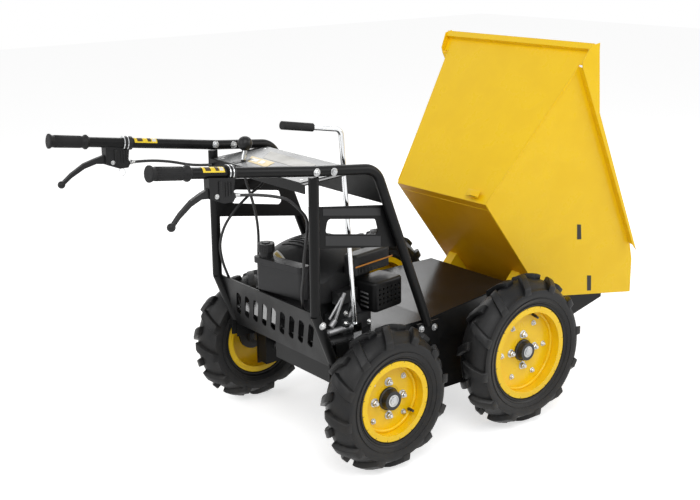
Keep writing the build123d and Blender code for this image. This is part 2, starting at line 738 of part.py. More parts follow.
guard_hole_rows = (6, 4)
cover_x = (-24.0, 132.0)
cover_y = (-170.0, -shroud_half_width - side_gap)
cover_heights = (deck_height + 157.0, deck_height + 215.0)
cover_round = 13.0
gearbox_x = (-76.0, 46.0)
gearbox_y = (-176.0, -block_half_width)
gearbox_height = 44.0
casting_x = (-60.0, 12.0)
casting_top_x = (-34.0, -8.0)
casting_y = (-166.0, -118.0)
casting_height = 80.0
carburettor_x = (-74.0, 8.0)
carburettor_y = (-158.0, -shroud_half_width - side_gap)
carburettor_heights = (deck_height + casting_height + side_gap, deck_height + 116.0)


def engine_plane(z):
    """Plan view at height z, turned with the engine and centred on it."""
    turn = math.radians(engine_turn)
    return Plane(origin=at(engine_x, 0, z), x_dir=(math.cos(turn), math.sin(turn), 0), z_dir=(0, 0, 1))


def add_engine_box(x_range, y_range, z_range, corner):
    """A box that is square to the engine, its upright corners rounded."""
    with BuildSketch(engine_plane(z_range[0])) as plan:
        with Locations(((x_range[0] + x_range[1]) / 2, (y_range[0] + y_range[1]) / 2)):
            RectangleRounded(x_range[1] - x_range[0], y_range[1] - y_range[0], corner)
    extrude(plan.sketch, amount=z_range[1] - z_range[0])


def add_engine_disc(place, z_low, z_high, radius):
    """An upright round post at a place of the engine's plan."""
    with BuildSketch(engine_plane(z_low)) as plan:
        with Locations(place):
            Circle(radius)
    extrude(plan.sketch, amount=z_high - z_low)


with BuildPart() as engine_block:
    add_engine_box((-block_half_width, block_half_width), (-block_half_width, block_half_width),
                   (deck_height, shroud_bottom), block_corner)
save(engine_block, "engine_block")

with BuildPart() as engine_shroud:
    add_engine_box((-shroud_half_length, shroud_half_length), (-shroud_half_width, shroud_half_width),
                   (shroud_bottom, shroud_top + dome_allowance), shroud_corner)
    dome_centre = engine_plane(shroud_top - dome_radius).from_local_coords(Vector(*dome_place, 0))
    with Locations(dome_centre):
        Sphere(dome_radius, mode=Mode.INTERSECT)
save(engine_shroud, "engine_shroud")

with BuildPart() as fuel_tank:
    add_engine_box((tank_foot[0], tank_x[1]), tank_y, (tank_foot[1], tank_heights[0]), 6)
    add_engine_box(tank_x, tank_y, tank_heights, 16)
    add_engine_box((tank_x[0] - tank_lip, tank_x[1]), (tank_y[0], tank_y[1] + tank_lip),
                   (tank_heights[1] - tank_lip_height, tank_heights[1]), 14)
    add_engine_disc(cap_place, tank_heights[1], tank_heights[1] + neck_height, neck_radius)
save(fuel_tank, "fuel_tank")

with BuildPart() as fuel_cap:
    add_engine_disc(cap_place, tank_heights[1] + neck_height, tank_heights[1] + neck_height + cap_height, cap_radius)
save(fuel_cap, "fuel_cap")

with BuildPart() as muffler_guard:
    add_engine_box(guard_x, guard_y, guard_heights, guard_round)
    fillet(muffler_guard.faces().sort_by(Axis.Z)[-1].edges() + muffler_guard.faces().sort_by(Axis.Z)[0].edges(),
           radius=guard_round * 0.6)
    guard_face = engine_plane((guard_heights[0] + guard_heights[1]) / 2)
    guard_middle = guard_face.from_local_coords(Vector((guard_x[0] + guard_x[1]) / 2, guard_y[0], 0))
    with BuildSketch(Plane(origin=guard_middle, x_dir=guard_face.x_dir, z_dir=-guard_face.y_dir)) as holes:
        with GridLocations(*guard_hole_pitch, *guard_hole_rows):
            RegularPolygon(guard_hole_radius, 6)
    extrude(holes.sketch, amount=-guard_hole_depth, mode=Mode.SUBTRACT)
save(muffler_guard, "muffler_guard")

with BuildPart() as air_filter_cover:
    add_engine_box(cover_x, cover_y, cover_heights, cover_round)
    fillet(air_filter_cover.faces().sort_by(Axis.Z)[-1].edges(), radius=cover_round * 0.7)
save(air_filter_cover, "air_filter_cover")

with BuildPart() as gearbox:
    add_engine_box(gearbox_x, gearbox_y, (deck_height, deck_height + gearbox_height), 14)
    for z, x_range, shrink in ((deck_height + gearbox_height, casting_x, 0.0),
                               (deck_height + casting_height, casting_top_x, 10.0)):
        with BuildSketch(engine_plane(z)):
            with Locations(((x_range[0] + x_range[1]) / 2, (casting_y[0] + casting_y[1]) / 2)):
                Rectangle(x_range[1] - x_range[0], casting_y[1] - casting_y[0] - shrink)
    loft(ruled=True)
save(gearbox, "gearbox")

with BuildPart() as carburettor:
    add_engine_box(carburettor_x, carburettor_y, carburettor_heights, 8)
save(carburettor, "carburettor")

# ---------------------------------------------------------------- skip

skip_tip = math.radians(tip_angle)
skip_plane = Plane(
    origin=at(skip_edge_x, 0, skip_edge_height),
    x_dir=(math.cos(skip_tip), 0, -math.sin(skip_tip)), z_dir=(0, -1, 0))
lean = math.radians(side_lean)
side_normal = skip_plane.y_dir * -math.sin(lean) + Vector(0, math.cos(lean), 0)
side_origin = skip_plane.origin + Vector(0, skip_half_width, 0)


def side_face_plane(side_sign, outwards):
    """The left or right side wall's outer face, moved outwards, facing outwards."""
    origin = side_origin + side_normal * outwards
    normal = side_normal
    if side_sign < 0:
        origin = Vector(origin.X, -origin.Y, origin.Z)
        normal = Vector(normal.X, -normal.Y, normal.Z)
    return Plane(origin=origin, x_dir=skip_plane.x_dir, z_dir=normal)


def mitre(before, corner, after, sheet):
    """The inner corner where two sheets of equal thickness meet, on the left of the route."""
    def unit(a, b):
        length = math.hypot(b[0] - a[0], b[1] - a[1])
        return (b[0] - a[0]) / length, (b[1] - a[1]) / length

    first = unit(before, corner)
    second = unit(corner, after)
    turn = 1 + first[0] * second[0] + first[1] * second[1]
    return (corner[0] - sheet * (first[1] + second[1]) / turn,
            corner[1] + sheet * (first[0] + second[0]) / turn)


floor_rear = (-skip_floor_length, 0.0)
floor_front = (0.0, 0.0)
inner_rear = mitre(rear_wall_top, floor_rear, floor_front, skip_sheet)
inner_front = mitre(floor_rear, floor_front, front_lip, skip_sheet)
rear_length = math.hypot(rear_wall_top[0] - floor_rear[0], rear_wall_top[1] - floor_rear[1])
rear_up = ((rear_wall_top[0] - floor_rear[0]) / rear_length, (rear_wall_top[1] - floor_rear[1]) / rear_length)


def on_rear_wall(inwards, up):
    """A point of the rear wall's section, from its top edge: into the skip, and on up the wall."""
    return (rear_wall_top[0] + inwards * rear_up[1] + up * rear_up[0],
            rear_wall_top[1] - inwards * rear_up[0] + up * rear_up[1])


front_length = math.hypot(*front_lip)
inner_lip = (front_lip[0] - front_lip[1] / front_length * skip_sheet,
             front_lip[1] + front_lip[0] / front_length * skip_sheet)
seam_rear = (floor_rear[0] + rear_up[0] / rear_up[1] * seam_rear_height, seam_rear_height)
rear_rim_section = [
    on_rear_wall(-rear_rim_step, 0), on_rear_wall(skip_sheet, 0), on_rear_wall(skip_sheet, skip_sheet),
    on_rear_wall(skip_sheet - rear_rim_step, skip_sheet), on_rear_wall(skip_sheet - rear_rim_step, rear_rim_height),
    on_rear_wall(-rear_rim_step, rear_rim_height)]

skip_panels = {
    # the outline of each cross panel in side view
    "skip_floor": [floor_rear, floor_front, inner_front, inner_rear],
    "skip_rear_wall": [floor_rear, inner_rear, on_rear_wall(skip_sheet, 0), rear_wall_top],
    "skip_front_wall": [floor_front, front_lip, inner_lip, inner_front],
}
for panel_name, outline in skip_panels.items():
    with BuildPart() as panel:
        with BuildSketch(skip_plane):
            with BuildLine():
                Polyline(*outline, close=True)
            make_face()
        extrude(amount=500, both=True)
        for side_sign in (1, -1):
            split(bisect_by=side_face_plane(side_sign, -skip_sheet), keep=Keep.BOTTOM)
        if panel_name == "skip_rear_wall":
            corner_strip = [on_rear_wall(0, 0), on_rear_wall(skip_sheet, 0),
                            on_rear_wall(skip_sheet, seam_rear_height - rear_wall_top[1] + 3 * skip_sheet),
                            on_rear_wall(0, seam_rear_height - rear_wall_top[1] + 3 * skip_sheet)]
            for section in (corner_strip, rear_rim_section):
                with BuildSketch(skip_plane) as band:
                    with BuildLine():
                        Polyline(*section, close=True)
                    make_face()
                strip = extrude(band.sketch, amount=500, both=True, mode=Mode.PRIVATE)
                for side_sign in (1, -1):
                    strip = split(strip, bisect_by=side_face_plane(side_sign, rim_step), keep=Keep.BOTTOM,
                                  mode=Mode.PRIVATE)
                add(strip)
    save(panel, panel_name)

side_scale = 1 / math.cos(lean)
seam_length = math.hypot(seam_front[0] - seam_rear[0], seam_front[1] - seam_rear[1])
seam_up = ((seam_rear[1] - seam_front[1]) / seam_length, (seam_front[0] - seam_rear[0]) / seam_length)
wall_overlap = rim_step * math.sin(lean) + 2 * skip_sheet


def above_seam(point, height):
    """A point beside the seam, moved up square to it."""
    return (point[0] + seam_up[0] * height, point[1] + seam_up[1] * height)


def add_side_sheet(side_sign, outline, outwards, thickness):
    """A flat sheet parallel to a side wall, its outer face moved outwards, added to the open part."""
    face = side_face_plane(side_sign, outwards)
    flip = side_scale if face.y_dir.dot(skip_plane.y_dir) > 0 else -side_scale
    drop = outwards * math.sin(lean)
    with BuildSketch(face) as sheet:
        with BuildLine():
            Polyline(*[(along, flip * (up + drop)) for along, up in outline], close=True)
        make_face()
    extrude(sheet.sketch, amount=-thickness)


for side_name, side_sign in (("left", 1), ("right", -1)):
    with BuildPart() as side_panel:
        add_side_sheet(side_sign, [floor_rear, floor_front, front_lip, front_top, above_seam(seam_front, wall_overlap),
                                   above_seam(seam_rear, wall_overlap), seam_rear], 0, skip_sheet)
        add_side_sheet(side_sign, [seam_rear, seam_front, above_seam(seam_front, skip_sheet),
                                   above_seam(seam_rear, skip_sheet)], rim_step + skip_sheet, rim_step + skip_sheet)
        add_side_sheet(side_sign, [seam_rear, seam_front, *reversed(side_rim_outline)],
                       rim_step + skip_sheet, skip_sheet)
    save(side_panel, f"skip_side_{side_name}")

bracket_rear = -105.6
bracket_front = -8.0
eye_place = ((hinge_x - skip_edge_x) * math.cos(skip_tip) - (hinge_height - skip_edge_height) * math.sin(skip_tip),
             (hinge_x - skip_edge_x) * math.sin(skip_tip) + (hinge_height - skip_edge_height) * math.cos(skip_tip))
with BuildPart() as skip_brackets:
    for side_sign in (1, -1):
        bracket_y = side_sign * bracket_half_spacing
        bracket_plane = Plane(origin=skip_plane.origin + Vector(0, bracket_y, 0), x_dir=skip_plane.x_dir,
                              z_dir=skip_plane.z_dir)
        with BuildSketch(bracket_plane) as cheek:
            with BuildLine():
                Polyline((bracket_rear, 0), (bracket_front, 0),
                         (eye_place[0] + hinge_eye_radius * 0.7, eye_place[1] - hinge_eye_radius * 0.7),
                         (eye_place[0] - hinge_eye_radius, eye_place[1]), close=True)
            make_face()
            with Locations(eye_place):
                Circle(hinge_eye_radius)
        extrude(cheek.sketch, amount=bracket_width / 2, both=True)
        with BuildSketch(bracket_plane) as hollow:
            with BuildLine():
                Polyline((bracket_rear + bracket_sheet, 1), (bracket_front + 40, 1),
                         (eye_place[0] + 60, eye_place[1] - 60),
                         (eye_place[0] - hinge_eye_radius + bracket_sheet, eye_place[1] - 60),
                         (eye_place[0] - hinge_eye_radius + bracket_sheet, eye_place[1]), close=True)
            make_face()
        extrude(hollow.sketch, amount=bracket_width / 2 - bracket_sheet, both=True, mode=Mode.SUBTRACT)
        with BuildSketch(bracket_plane) as eye_bore:
            with Locations(eye_place):
                Circle(hinge_pin_radius + hinge_clearance)
        extrude(eye_bore.sketch, amount=bracket_width, both=True, mode=Mode.SUBTRACT)
save(skip_brackets, "skip_brackets")
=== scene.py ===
import json
import math

import bmesh
import bpy
from mathutils import Matrix, Vector


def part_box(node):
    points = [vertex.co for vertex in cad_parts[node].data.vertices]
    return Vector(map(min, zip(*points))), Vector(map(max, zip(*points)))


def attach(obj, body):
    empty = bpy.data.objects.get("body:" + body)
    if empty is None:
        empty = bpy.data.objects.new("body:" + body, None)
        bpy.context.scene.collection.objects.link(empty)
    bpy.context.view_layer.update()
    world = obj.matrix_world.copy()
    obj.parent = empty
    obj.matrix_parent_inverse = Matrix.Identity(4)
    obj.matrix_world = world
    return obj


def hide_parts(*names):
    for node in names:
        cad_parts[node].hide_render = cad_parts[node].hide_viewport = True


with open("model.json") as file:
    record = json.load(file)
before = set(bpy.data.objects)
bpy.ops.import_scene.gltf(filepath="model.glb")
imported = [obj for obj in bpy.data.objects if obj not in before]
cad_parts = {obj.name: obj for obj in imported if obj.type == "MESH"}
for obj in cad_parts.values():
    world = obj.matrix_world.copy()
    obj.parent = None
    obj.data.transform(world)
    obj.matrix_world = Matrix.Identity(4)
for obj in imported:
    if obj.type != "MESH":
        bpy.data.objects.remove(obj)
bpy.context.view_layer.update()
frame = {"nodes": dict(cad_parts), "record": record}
nodes = frame["nodes"]
joints = {joint["name"]: joint for joint in frame["record"]["behaviour"]["joints"]}
rearAxleX = joints["wheel_rear_right_spin"]["pos_m"][0]


def spot(x, y, z):
    # a place measured in millimetres from the rear axle, on the ground
    return Vector((rearAxleX + x / 1000, y / 1000, z / 1000))


# Small modelling helpers

def deselectAll():
    if bpy.context.object and bpy.context.object.mode != "OBJECT":
        bpy.ops.object.mode_set(mode="OBJECT")
    bpy.ops.object.select_all(action="DESELECT")


def makeActive(piece):
    deselectAll()
    piece.select_set(True)
    bpy.context.view_layer.objects.active = piece


def settle(piece):
    # put the object's origin at the world origin, so that its place is in its mesh
    makeActive(piece)
    bpy.ops.object.transform_apply(location=True, rotation=True, scale=True)


def useModifier(piece, kind, **values):
    makeActive(piece)
    modifier = piece.modifiers.new(kind.title(), kind)
    for name, value in values.items():
        setattr(modifier, name, value)
    bpy.ops.object.modifier_apply(modifier=modifier.name)


def smooth(piece, degrees=32):
    makeActive(piece)
    bpy.ops.object.shade_smooth_by_angle(angle=math.radians(degrees))


def outward(piece):
    makeActive(piece)
    bpy.ops.object.mode_set(mode="EDIT")
    bpy.ops.mesh.select_all(action="SELECT")
    bpy.ops.mesh.remove_doubles(threshold=0.00001)
    bpy.ops.mesh.normals_make_consistent(inside=False)
    bpy.ops.object.mode_set(mode="OBJECT")


def joined(pieces, name):
    deselectAll()
    for piece in pieces:
        piece.select_set(True)
    bpy.context.view_layer.objects.active = pieces[0]
    if len(pieces) > 1:
        bpy.ops.object.join()
    pieces[0].name = name
    return pieces[0]


def copiesOf(first, name, turns):
    # the piece moved by every turn, in place of the piece itself
    pieces = []
    for turn in turns:
        piece = first.copy()
        piece.data = first.data.copy()
        piece.data.transform(turn)
        piece.name = name
        bpy.context.scene.collection.objects.link(piece)
        pieces.append(piece)
    bpy.data.objects.remove(first, do_unlink=True)
    return pieces


def finish(pieces, name, look, body="chassis", angle=None, replaced=()):
    # join the pieces, give them their material, and tell the frame what carries them
    piece = joined(pieces if isinstance(pieces, list) else [pieces], name)
    if angle:
        smooth(piece, angle)
    piece.data.materials.clear()
    piece.data.materials.append(paint[look])
    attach(piece, body)
    if replaced:
        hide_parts(*replaced)


def turned(name, rings, segments=48, closedEnds=True):
    # rings are (place along Z, radius), extruded one from the next and scaled to size
    deselectAll()
    start, radius = rings[0]
    bpy.ops.mesh.primitive_circle_add(vertices=segments, radius=radius, location=(0, 0, start),
                                      fill_type="NGON" if closedEnds else "NOTHING")
    piece = bpy.context.object
    piece.name = name
    bpy.ops.object.mode_set(mode="EDIT")
    bpy.ops.mesh.select_all(action="SELECT")
    for along, size in rings[1:]:
        bpy.ops.mesh.extrude_region_move(TRANSFORM_OT_translate={"value": (0, 0, along - start)})
        bpy.ops.transform.resize(value=(size / radius, size / radius, 1), center_override=(0, 0, along))
        start, radius = along, size
    bpy.ops.object.mode_set(mode="OBJECT")
    settle(piece)
    outward(piece)
    return piece


def raised(rings, height):
    return [(height + along, radius) for along, radius in rings]


def torus(major, minor, along, segments, minorSegments):
    deselectAll()
    bpy.ops.mesh.primitive_torus_add(major_radius=major, minor_radius=minor, major_segments=segments,
                                     minor_segments=minorSegments, location=(0, 0, along))
    ring = bpy.context.object
    settle(ring)
    return ring


def boxPiece(name, low, high, bevel=0.0):
    deselectAll()
    bpy.ops.mesh.primitive_cube_add(size=1, location=[(a + b) / 2 for a, b in zip(low, high)])
    piece = bpy.context.object
    piece.name = name
    piece.scale = [b - a for a, b in zip(low, high)]
    settle(piece)
    if bevel:
        useModifier(piece, "BEVEL", width=bevel, segments=3, limit_method="ANGLE")
    smooth(piece)
    return piece


def turnedBy(degrees, axis):
    return Matrix.Rotation(math.radians(degrees), 4, axis)


def facing(direction):
    return Vector(direction).to_track_quat("Z", "Y").to_matrix().to_4x4()


def aim(piece, start, direction):
    # turn a piece made along +Z so that it runs from start in that direction
    piece.data.transform(Matrix.Translation(start) @ facing(direction))
    return piece


def rod(name, start, end, radius, segments):
    start, end = Vector(start), Vector(end)
    length = (end - start).length
    edge = min(radius * 0.2, length * 0.2)
    rings = [(0, radius - edge), (edge, radius), (length - edge, radius), (length, radius - edge)]
    piece = aim(turned(name, rings, segments), start, end - start)
    smooth(piece)
    return piece


def hexBolt(name, size, head, washer, thread):
    # a bolt head that stands on z = 0, with its washer and a stub of thread above
    base = 0.0016
    washerRings = [(-0.0005, washer), (base - 0.0003, washer), (base, washer * 0.96)]
    headRings = [(base, size * 0.55), (base, size), (base + head * 0.82, size), (base + head, size * 0.84)]
    threadRings = [(base + head * 0.9, thread), (base + head * 1.35, thread),
                   (base + head * 1.5, thread * 0.8)]
    parts = [turned(name, rings, segments)
             for rings, segments in ((washerRings, 28), (headRings, 6), (threadRings, 16))]
    bolt = joined(parts, name)
    smooth(bolt, 25)
    return bolt


# Shared effects as node groups

def fill(tree, node, values):
    # among a node's values, a socket is linked and anything else is set
    for label, value in values.items():
        socket = node.inputs[label if isinstance(label, int) else label.replace("_", " ")]
        if isinstance(value, bpy.types.NodeSocket):
            tree.links.new(value, socket)
        else:
            socket.default_value = value
    return node


def addNode(tree, kind, **values):
    return fill(tree, tree.nodes.new("ShaderNode" + kind), values)


def newGroup(name, inputs, outputs):
    group = bpy.data.node_groups.new(name, "ShaderNodeTree")
    for label, value in inputs.items():
        socket = group.interface.new_socket(name=label, in_out="INPUT", socket_type="NodeSocketFloat")
        socket.default_value = value
    for label in outputs:
        group.interface.new_socket(name=label, in_out="OUTPUT", socket_type="NodeSocketFloat")
    return group, group.nodes.new("NodeGroupInput").outputs, group.nodes.new("NodeGroupOutput")


def mathNode(tree, operation, first, second, clamp=False):
    node = fill(tree, addNode(tree, "Math"), {0: first, 1: second})
    node.operation = operation
    node.use_clamp = clamp
    return node.outputs[0]


def rampNode(tree, value, low, high):
    node = addNode(tree, "MapRange", Value=value, From_Min=low, From_Max=high)
    node.interpolation_type = "SMOOTHSTEP"
    return node.outputs["Result"]


def makeFineGrain():
    # cast, moulded or sprayed skin: a height, and a slow mottling for colour and gloss
    group, given, result = newGroup("fineGrain", {"Grain Size": 900, "Mottle Size": 9}, ["Height", "Mottle"])
    place = addNode(group, "TexCoord").outputs["Object"]
    fine = addNode(group, "TexNoise", Vector=place, Scale=given["Grain Size"], Detail=3)
    slow = addNode(group, "TexNoise", Vector=place, Scale=given["Mottle Size"], Detail=5, Roughness=0.62)
    mottle = rampNode(group, slow.outputs["Fac"], 0.34, 0.68)
    fill(group, result, {"Height": fine.outputs["Fac"], "Mottle": mottle})
    return group


def makeScuffs():
    # thin straight scratches in two directions, broken up by a noise
    group, given, result = newGroup("scuffs", {"Scale": 40, "Amount": 0.3}, ["Mask"])
    place = addNode(group, "TexCoord").outputs["Object"]
    lines = []
    for turn, stretch in (((0.3, 0.2, 0.5), (1, 34, 1)), ((-0.5, 0.4, -0.3), (30, 1, 1.4))):
        mapping = addNode(group, "Mapping", Vector=place, Rotation=turn, Scale=stretch)
        noise = addNode(group, "TexNoise", Vector=mapping.outputs["Vector"], Scale=given["Scale"], Detail=2)
        lines.append(rampNode(group, noise.outputs["Fac"], 0.66, 0.74))
    patches = addNode(group, "TexNoise", Vector=place, Scale=7)
    both = mathNode(group, "MAXIMUM", *lines)
    broken = mathNode(group, "MULTIPLY", both, rampNode(group, patches.outputs["Fac"], 0.42, 0.66))
    fill(group, result, {"Mask": mathNode(group, "MULTIPLY", broken, given["Amount"])})
    return group


def makeLowDust():
    # dust that gathers near the ground and in patches
    group, given, result = newGroup("lowDust", {"Amount": 0.4, "Reach": 0.45}, ["Mask"])
    place = addNode(group, "TexCoord").outputs["Object"]
    noise = addNode(group, "TexNoise", Vector=place, Scale=22, Detail=6, Roughness=0.7)
    up = addNode(group, "SeparateXYZ", Vector=place).outputs["Z"]
    fall = mathNode(group, "SUBTRACT", 1.0, mathNode(group, "DIVIDE", up, given["Reach"]), True)
    patchy = mathNode(group, "MULTIPLY", fall, rampNode(group, noise.outputs["Fac"], 0.36, 0.72))
    fill(group, result, {"Mask": mathNode(group, "MULTIPLY", patchy, given["Amount"], True)})
    return group


effects = {"fineGrain": makeFineGrain(), "scuffs": makeScuffs(), "lowDust": makeLowDust()}
print("effect groups ready")

# Materials

def effectNode(tree, effect, **values):
    node = addNode(tree, "Group")
    node.node_tree = effects[effect]
    return fill(tree, node, values).outputs


def mixColour(tree, mask, first, second):
    node = addNode(tree, "Mix")
    node.data_type = "RGBA"
    colours = [(*colour, 1) if isinstance(colour, tuple) else colour for colour in (first, second)]
    return fill(tree, node, {0: mask, 6: colours[0], 7: colours[1]}).outputs[2]


wear = {
    "mottleSize": 11, "scuffScale": 60, "scuffRough": 0.3, "dustReach": 0.42, "dustRough": 0.35,
    "dustColour": (0.16, 0.135, 0.1), "coatRough": 0.12, "scuffFade": 0.8, "scuffLift": 0.06,
}
labelWear = {"scuff": 0.1}
finishes = {
    # colour, mottled colour, roughness pair, grain size, grain depth, specular, and what else it has
    "skipYellow": ((0.9, 0.58, 0.005), (0.87, 0.55, 0.005), (0.26, 0.34), 420, 0.00012, 0.24,
        {"coat": 0.12, "edge": 0.0016, "scuff": 0.1}),
    "rimYellow": ((0.92, 0.6, 0.004), (0.89, 0.56, 0.004), (0.26, 0.34), 520, 0.0001, 0.3,
        {"coat": 0.15, "edge": 0.001, "dust": 0.1, "scuff": 0.12}),
    "frameBlack": ((0.0045, 0.0046, 0.0048), (0.0065, 0.0066, 0.0068), (0.3, 0.42), 700, 0.00014, 0.16,
        {"edge": 0.0012, "dust": 0.02, "scuff": 0.08}),
    "deckBlack": ((0.009, 0.0092, 0.0095), (0.013, 0.013, 0.0135), (0.16, 0.22), 300, 0.00008, 0.16,
        {"edge": 0.001, "scuff": 0.15}),
    "hubBlack": ((0.006, 0.006, 0.006), (0.01, 0.01, 0.01), (0.34, 0.5), 600, 0.0002, 0.4,
        {"coat": 0.1, "edge": 0.001, "dust": 0.1, "scuff": 0.1}),
    "shroudBlack": ((0.009, 0.0092, 0.0098), (0.0125, 0.0125, 0.013), (0.34, 0.46), 1500, 0.00022, 0.24,
        {"edge": 0.0016, "scuff": 0.04}),
    "tankGrey": ((0.012, 0.012, 0.013), (0.017, 0.017, 0.018), (0.3, 0.4), 900, 0.00012, 0.24,
        {"edge": 0.002, "scuff": 0.05}),
    "consoleGrey": ((0.07, 0.073, 0.074), (0.082, 0.085, 0.086), (0.33, 0.42), 800, 0.00012, 0.42,
        {"coat": 0.1, "edge": 0.0008, "scuff": 0.08}),
    "gripRubber": ((0.0075, 0.0075, 0.008), (0.012, 0.012, 0.0125), (0.5, 0.66), 1900, 0.0002, 0.22,
        {"edge": 0.0006}),
    "tyreRubber": ((0.0062, 0.0064, 0.007), (0.0095, 0.0096, 0.0102), (0.32, 0.52), 1300, 0.00026, 0.26,
        {"dust": 0.1, "scuff": 0.04}),
    "cableBlack": ((0.01, 0.01, 0.0105), (0.014, 0.014, 0.0145), (0.36, 0.5), 2200, 0.0001, 0.4, {}),
    "zinc": ((0.56, 0.56, 0.55), (0.44, 0.45, 0.46), (0.24, 0.36), 1600, 0.0001, 0.5,
        {"edge": 0.0005, "scuff": 0.2, "metal": 1.0}),
    "chrome": ((0.72, 0.73, 0.74), (0.66, 0.67, 0.68), (0.1, 0.18), 900, 0.00003, 0.5,
        {"scuff": 0.3, "metal": 1.0}),
    # bright cast metal; on the gearbox's rods it is painted highlight for glints
    "castMetalAndGlint": ((0.36, 0.36, 0.365), (0.27, 0.27, 0.275), (0.36, 0.52), 1100, 0.0005, 0.5,
        {"edge": 0.0014, "scuff": 0.1, "metal": 0.9}),
    "labelWhite": ((0.72, 0.71, 0.67), (0.66, 0.65, 0.6), (0.34, 0.42), 600, 0.00004, 0.4, labelWear),
    "labelGold": ((0.6, 0.44, 0.12), (0.54, 0.39, 0.1), (0.34, 0.42), 600, 0.00004, 0.4, labelWear),
    "labelPale": ((0.3, 0.29, 0.26), (0.2, 0.19, 0.16), (0.34, 0.42), 600, 0.00004, 0.3, labelWear),
    "castDark": ((0.035, 0.036, 0.038), (0.02, 0.021, 0.022), (0.4, 0.56), 1100, 0.0004, 0.3,
        {"edge": 0.001, "scuff": 0.1, "metal": 0.4}),
    # the skip floor: the skip's yellow made darker and more orange, painted shade for its shaded underside
    "floorYellow": ((0.84, 0.4, 0.003), (0.8, 0.37, 0.003), (0.28, 0.36), 420, 0.00012, 0.22,
        {"coat": 0.1, "edge": 0.0016, "scuff": 0.1}),
    "labelYellow": ((0.82, 0.6, 0.02), (0.78, 0.56, 0.02), (0.34, 0.42), 600, 0.00004, 0.4, labelWear),
    "labelBrown": ((0.07, 0.045, 0.02), (0.05, 0.03, 0.015), (0.36, 0.44), 600, 0.00004, 0.3, labelWear),
    "labelBlack": ((0.008, 0.008, 0.008), (0.011, 0.011, 0.011), (0.36, 0.44), 600, 0.00004, 0.4, labelWear),
    "labelGrey": ((0.012, 0.012, 0.013), (0.015, 0.015, 0.016), (0.36, 0.44), 600, 0.00004, 0.4, labelWear),
    "stripeOrange": ((0.55, 0.2, 0.01), (0.5, 0.18, 0.01), (0.34, 0.42), 600, 0.00004, 0.4, labelWear),
}


def makeFinish(name, colour, mottle, rough, grain, depth, specular, more):
    material = bpy.data.materials.new(name)
    material.use_nodes = True
    tree = material.node_tree
    skin = effectNode(tree, "fineGrain", Grain_Size=grain, Mottle_Size=wear["mottleSize"])
    base = mixColour(tree, skin["Mottle"], colour, mottle)
    gloss = addNode(tree, "MapRange", Value=skin["Mottle"], To_Min=rough[0], To_Max=rough[1])
    roughness = gloss.outputs["Result"]
    lighter = tuple(min(1, channel * wear["scuffFade"] + wear["scuffLift"]) for channel in colour)
    for key, effect, sizes, over in (("scuff", "scuffs", {"Scale": wear["scuffScale"]}, lighter),
                                     ("dust", "lowDust", {"Reach": wear["dustReach"]}, wear["dustColour"])):
        if key in more:
            mask = effectNode(tree, effect, Amount=more[key], **sizes)["Mask"]
            base = mixColour(tree, mask, base, over)
            rougher = mathNode(tree, "MULTIPLY", mask, wear[key + "Rough"])
            roughness = mathNode(tree, "ADD", roughness, rougher)
    bump = addNode(tree, "Bump", Strength=1.0, Distance=depth, Height=skin["Height"])
    if "edge" in more:
        rounder = addNode(tree, "Bevel", Radius=more["edge"])
        rounder.samples = 4
        fill(tree, bump, {"Normal": rounder.outputs["Normal"]})
    fill(tree, tree.nodes["Principled BSDF"], {
        "Normal": bump.outputs["Normal"], "Base Color": base, "Roughness": roughness,
        "Metallic": more.get("metal", 0), "Specular IOR Level": specular, "Coat Weight": more.get("coat", 0),
        "Coat Roughness": wear["coatRough"]})
    return material


paint = {name: makeFinish(name, *values) for name, values in finishes.items()}
print("materials ready:", len(paint))

# the frame's own nodes, by how their names begin: the longest beginning counts
nodeLooks = {
    "frameBlack": ("frame", "upright", "handlebar", "console", "side", "chassis", "nose", "chain",
                   "rear_panel", "muffler"),
    "shroudBlack": ("gear_lever", "control", "lever", "engine_shroud", "air", "carburettor"),
    "tyreRubber": ("tyre",), "rimYellow": ("rim",), "hubBlack": ("hub",), "skipYellow": ("skip",),
    # the skip floor takes the darker orange yellow, painted shade for its underside
    "floorYellow": ("skip_floor",), "gripRubber": ("grips", "tip_lever_grip"), "chrome": ("tip_lever",),
    "deckBlack": ("deck",), "zinc": ("axles", "hinge"), "castDark": ("engine_block", "gearbox"),
    "tankGrey": ("fuel",), "cableBlack": ("control_cables",),
}
lookOf = {start: look for look, starts in nodeLooks.items() for start in starts}


def dressNodes():
    for name, node in nodes.items():
        start = max((start for start in lookOf if name.startswith(start)), key=len)
        node.data.materials.clear()
        node.data.materials.append(paint[lookOf[start]])


dressNodes()
print("frame dressed")

# Camera, floor and light

view = {"place": (-1849, -2606, 1450), "heading": -37.35, "down": 15.68, "roll": -0.81, "lens": 58.99}


def makeCamera():
    data = bpy.data.cameras.new("camera")
    data.lens = view["lens"]
    data.sensor_width = 36
    data.clip_end = 60
    camera = bpy.data.objects.new("camera", data)
    bpy.context.scene.collection.objects.link(camera)
    heading, down = math.radians(view["heading"]), math.radians(view["down"])
    level = math.cos(down)
    forward = Vector((-math.sin(heading) * level, math.cos(heading) * level, -math.sin(down)))
    turn = forward.to_track_quat("-Z", "Y").to_matrix() @ Matrix.Rotation(math.radians(view["roll"]), 3, "Z")
    camera.matrix_world = Matrix.Translation(spot(*view["place"])) @ turn.to_4x4()
    bpy.context.scene.camera = camera


studio = {"shown": 1.0, "soft": 0.42, "floorSize": 24, "floorColour": (0.8, 0.8, 0.8, 1), "floorGlow": 0.62}
lamps = [
    # name, place, size, power, where it aims
    ("keyLamp", (-1.6, -2.6, 3.4), 2.6, 82, (0.1, 0, 0.4)),
    ("sideLamp", (-3.2, 0.6, 2.0), 2.2, 30, (0.0, 0, 0.4)),
    ("frontLamp", (2.8, -2.4, 2.2), 2.4, 44, (0.2, 0, 0.4)),
    ("backLamp", (1.6, 3.0, 2.6), 2.6, 40, (0.1, 0, 0.4)),
]
white = (1, 1, 1, 1)


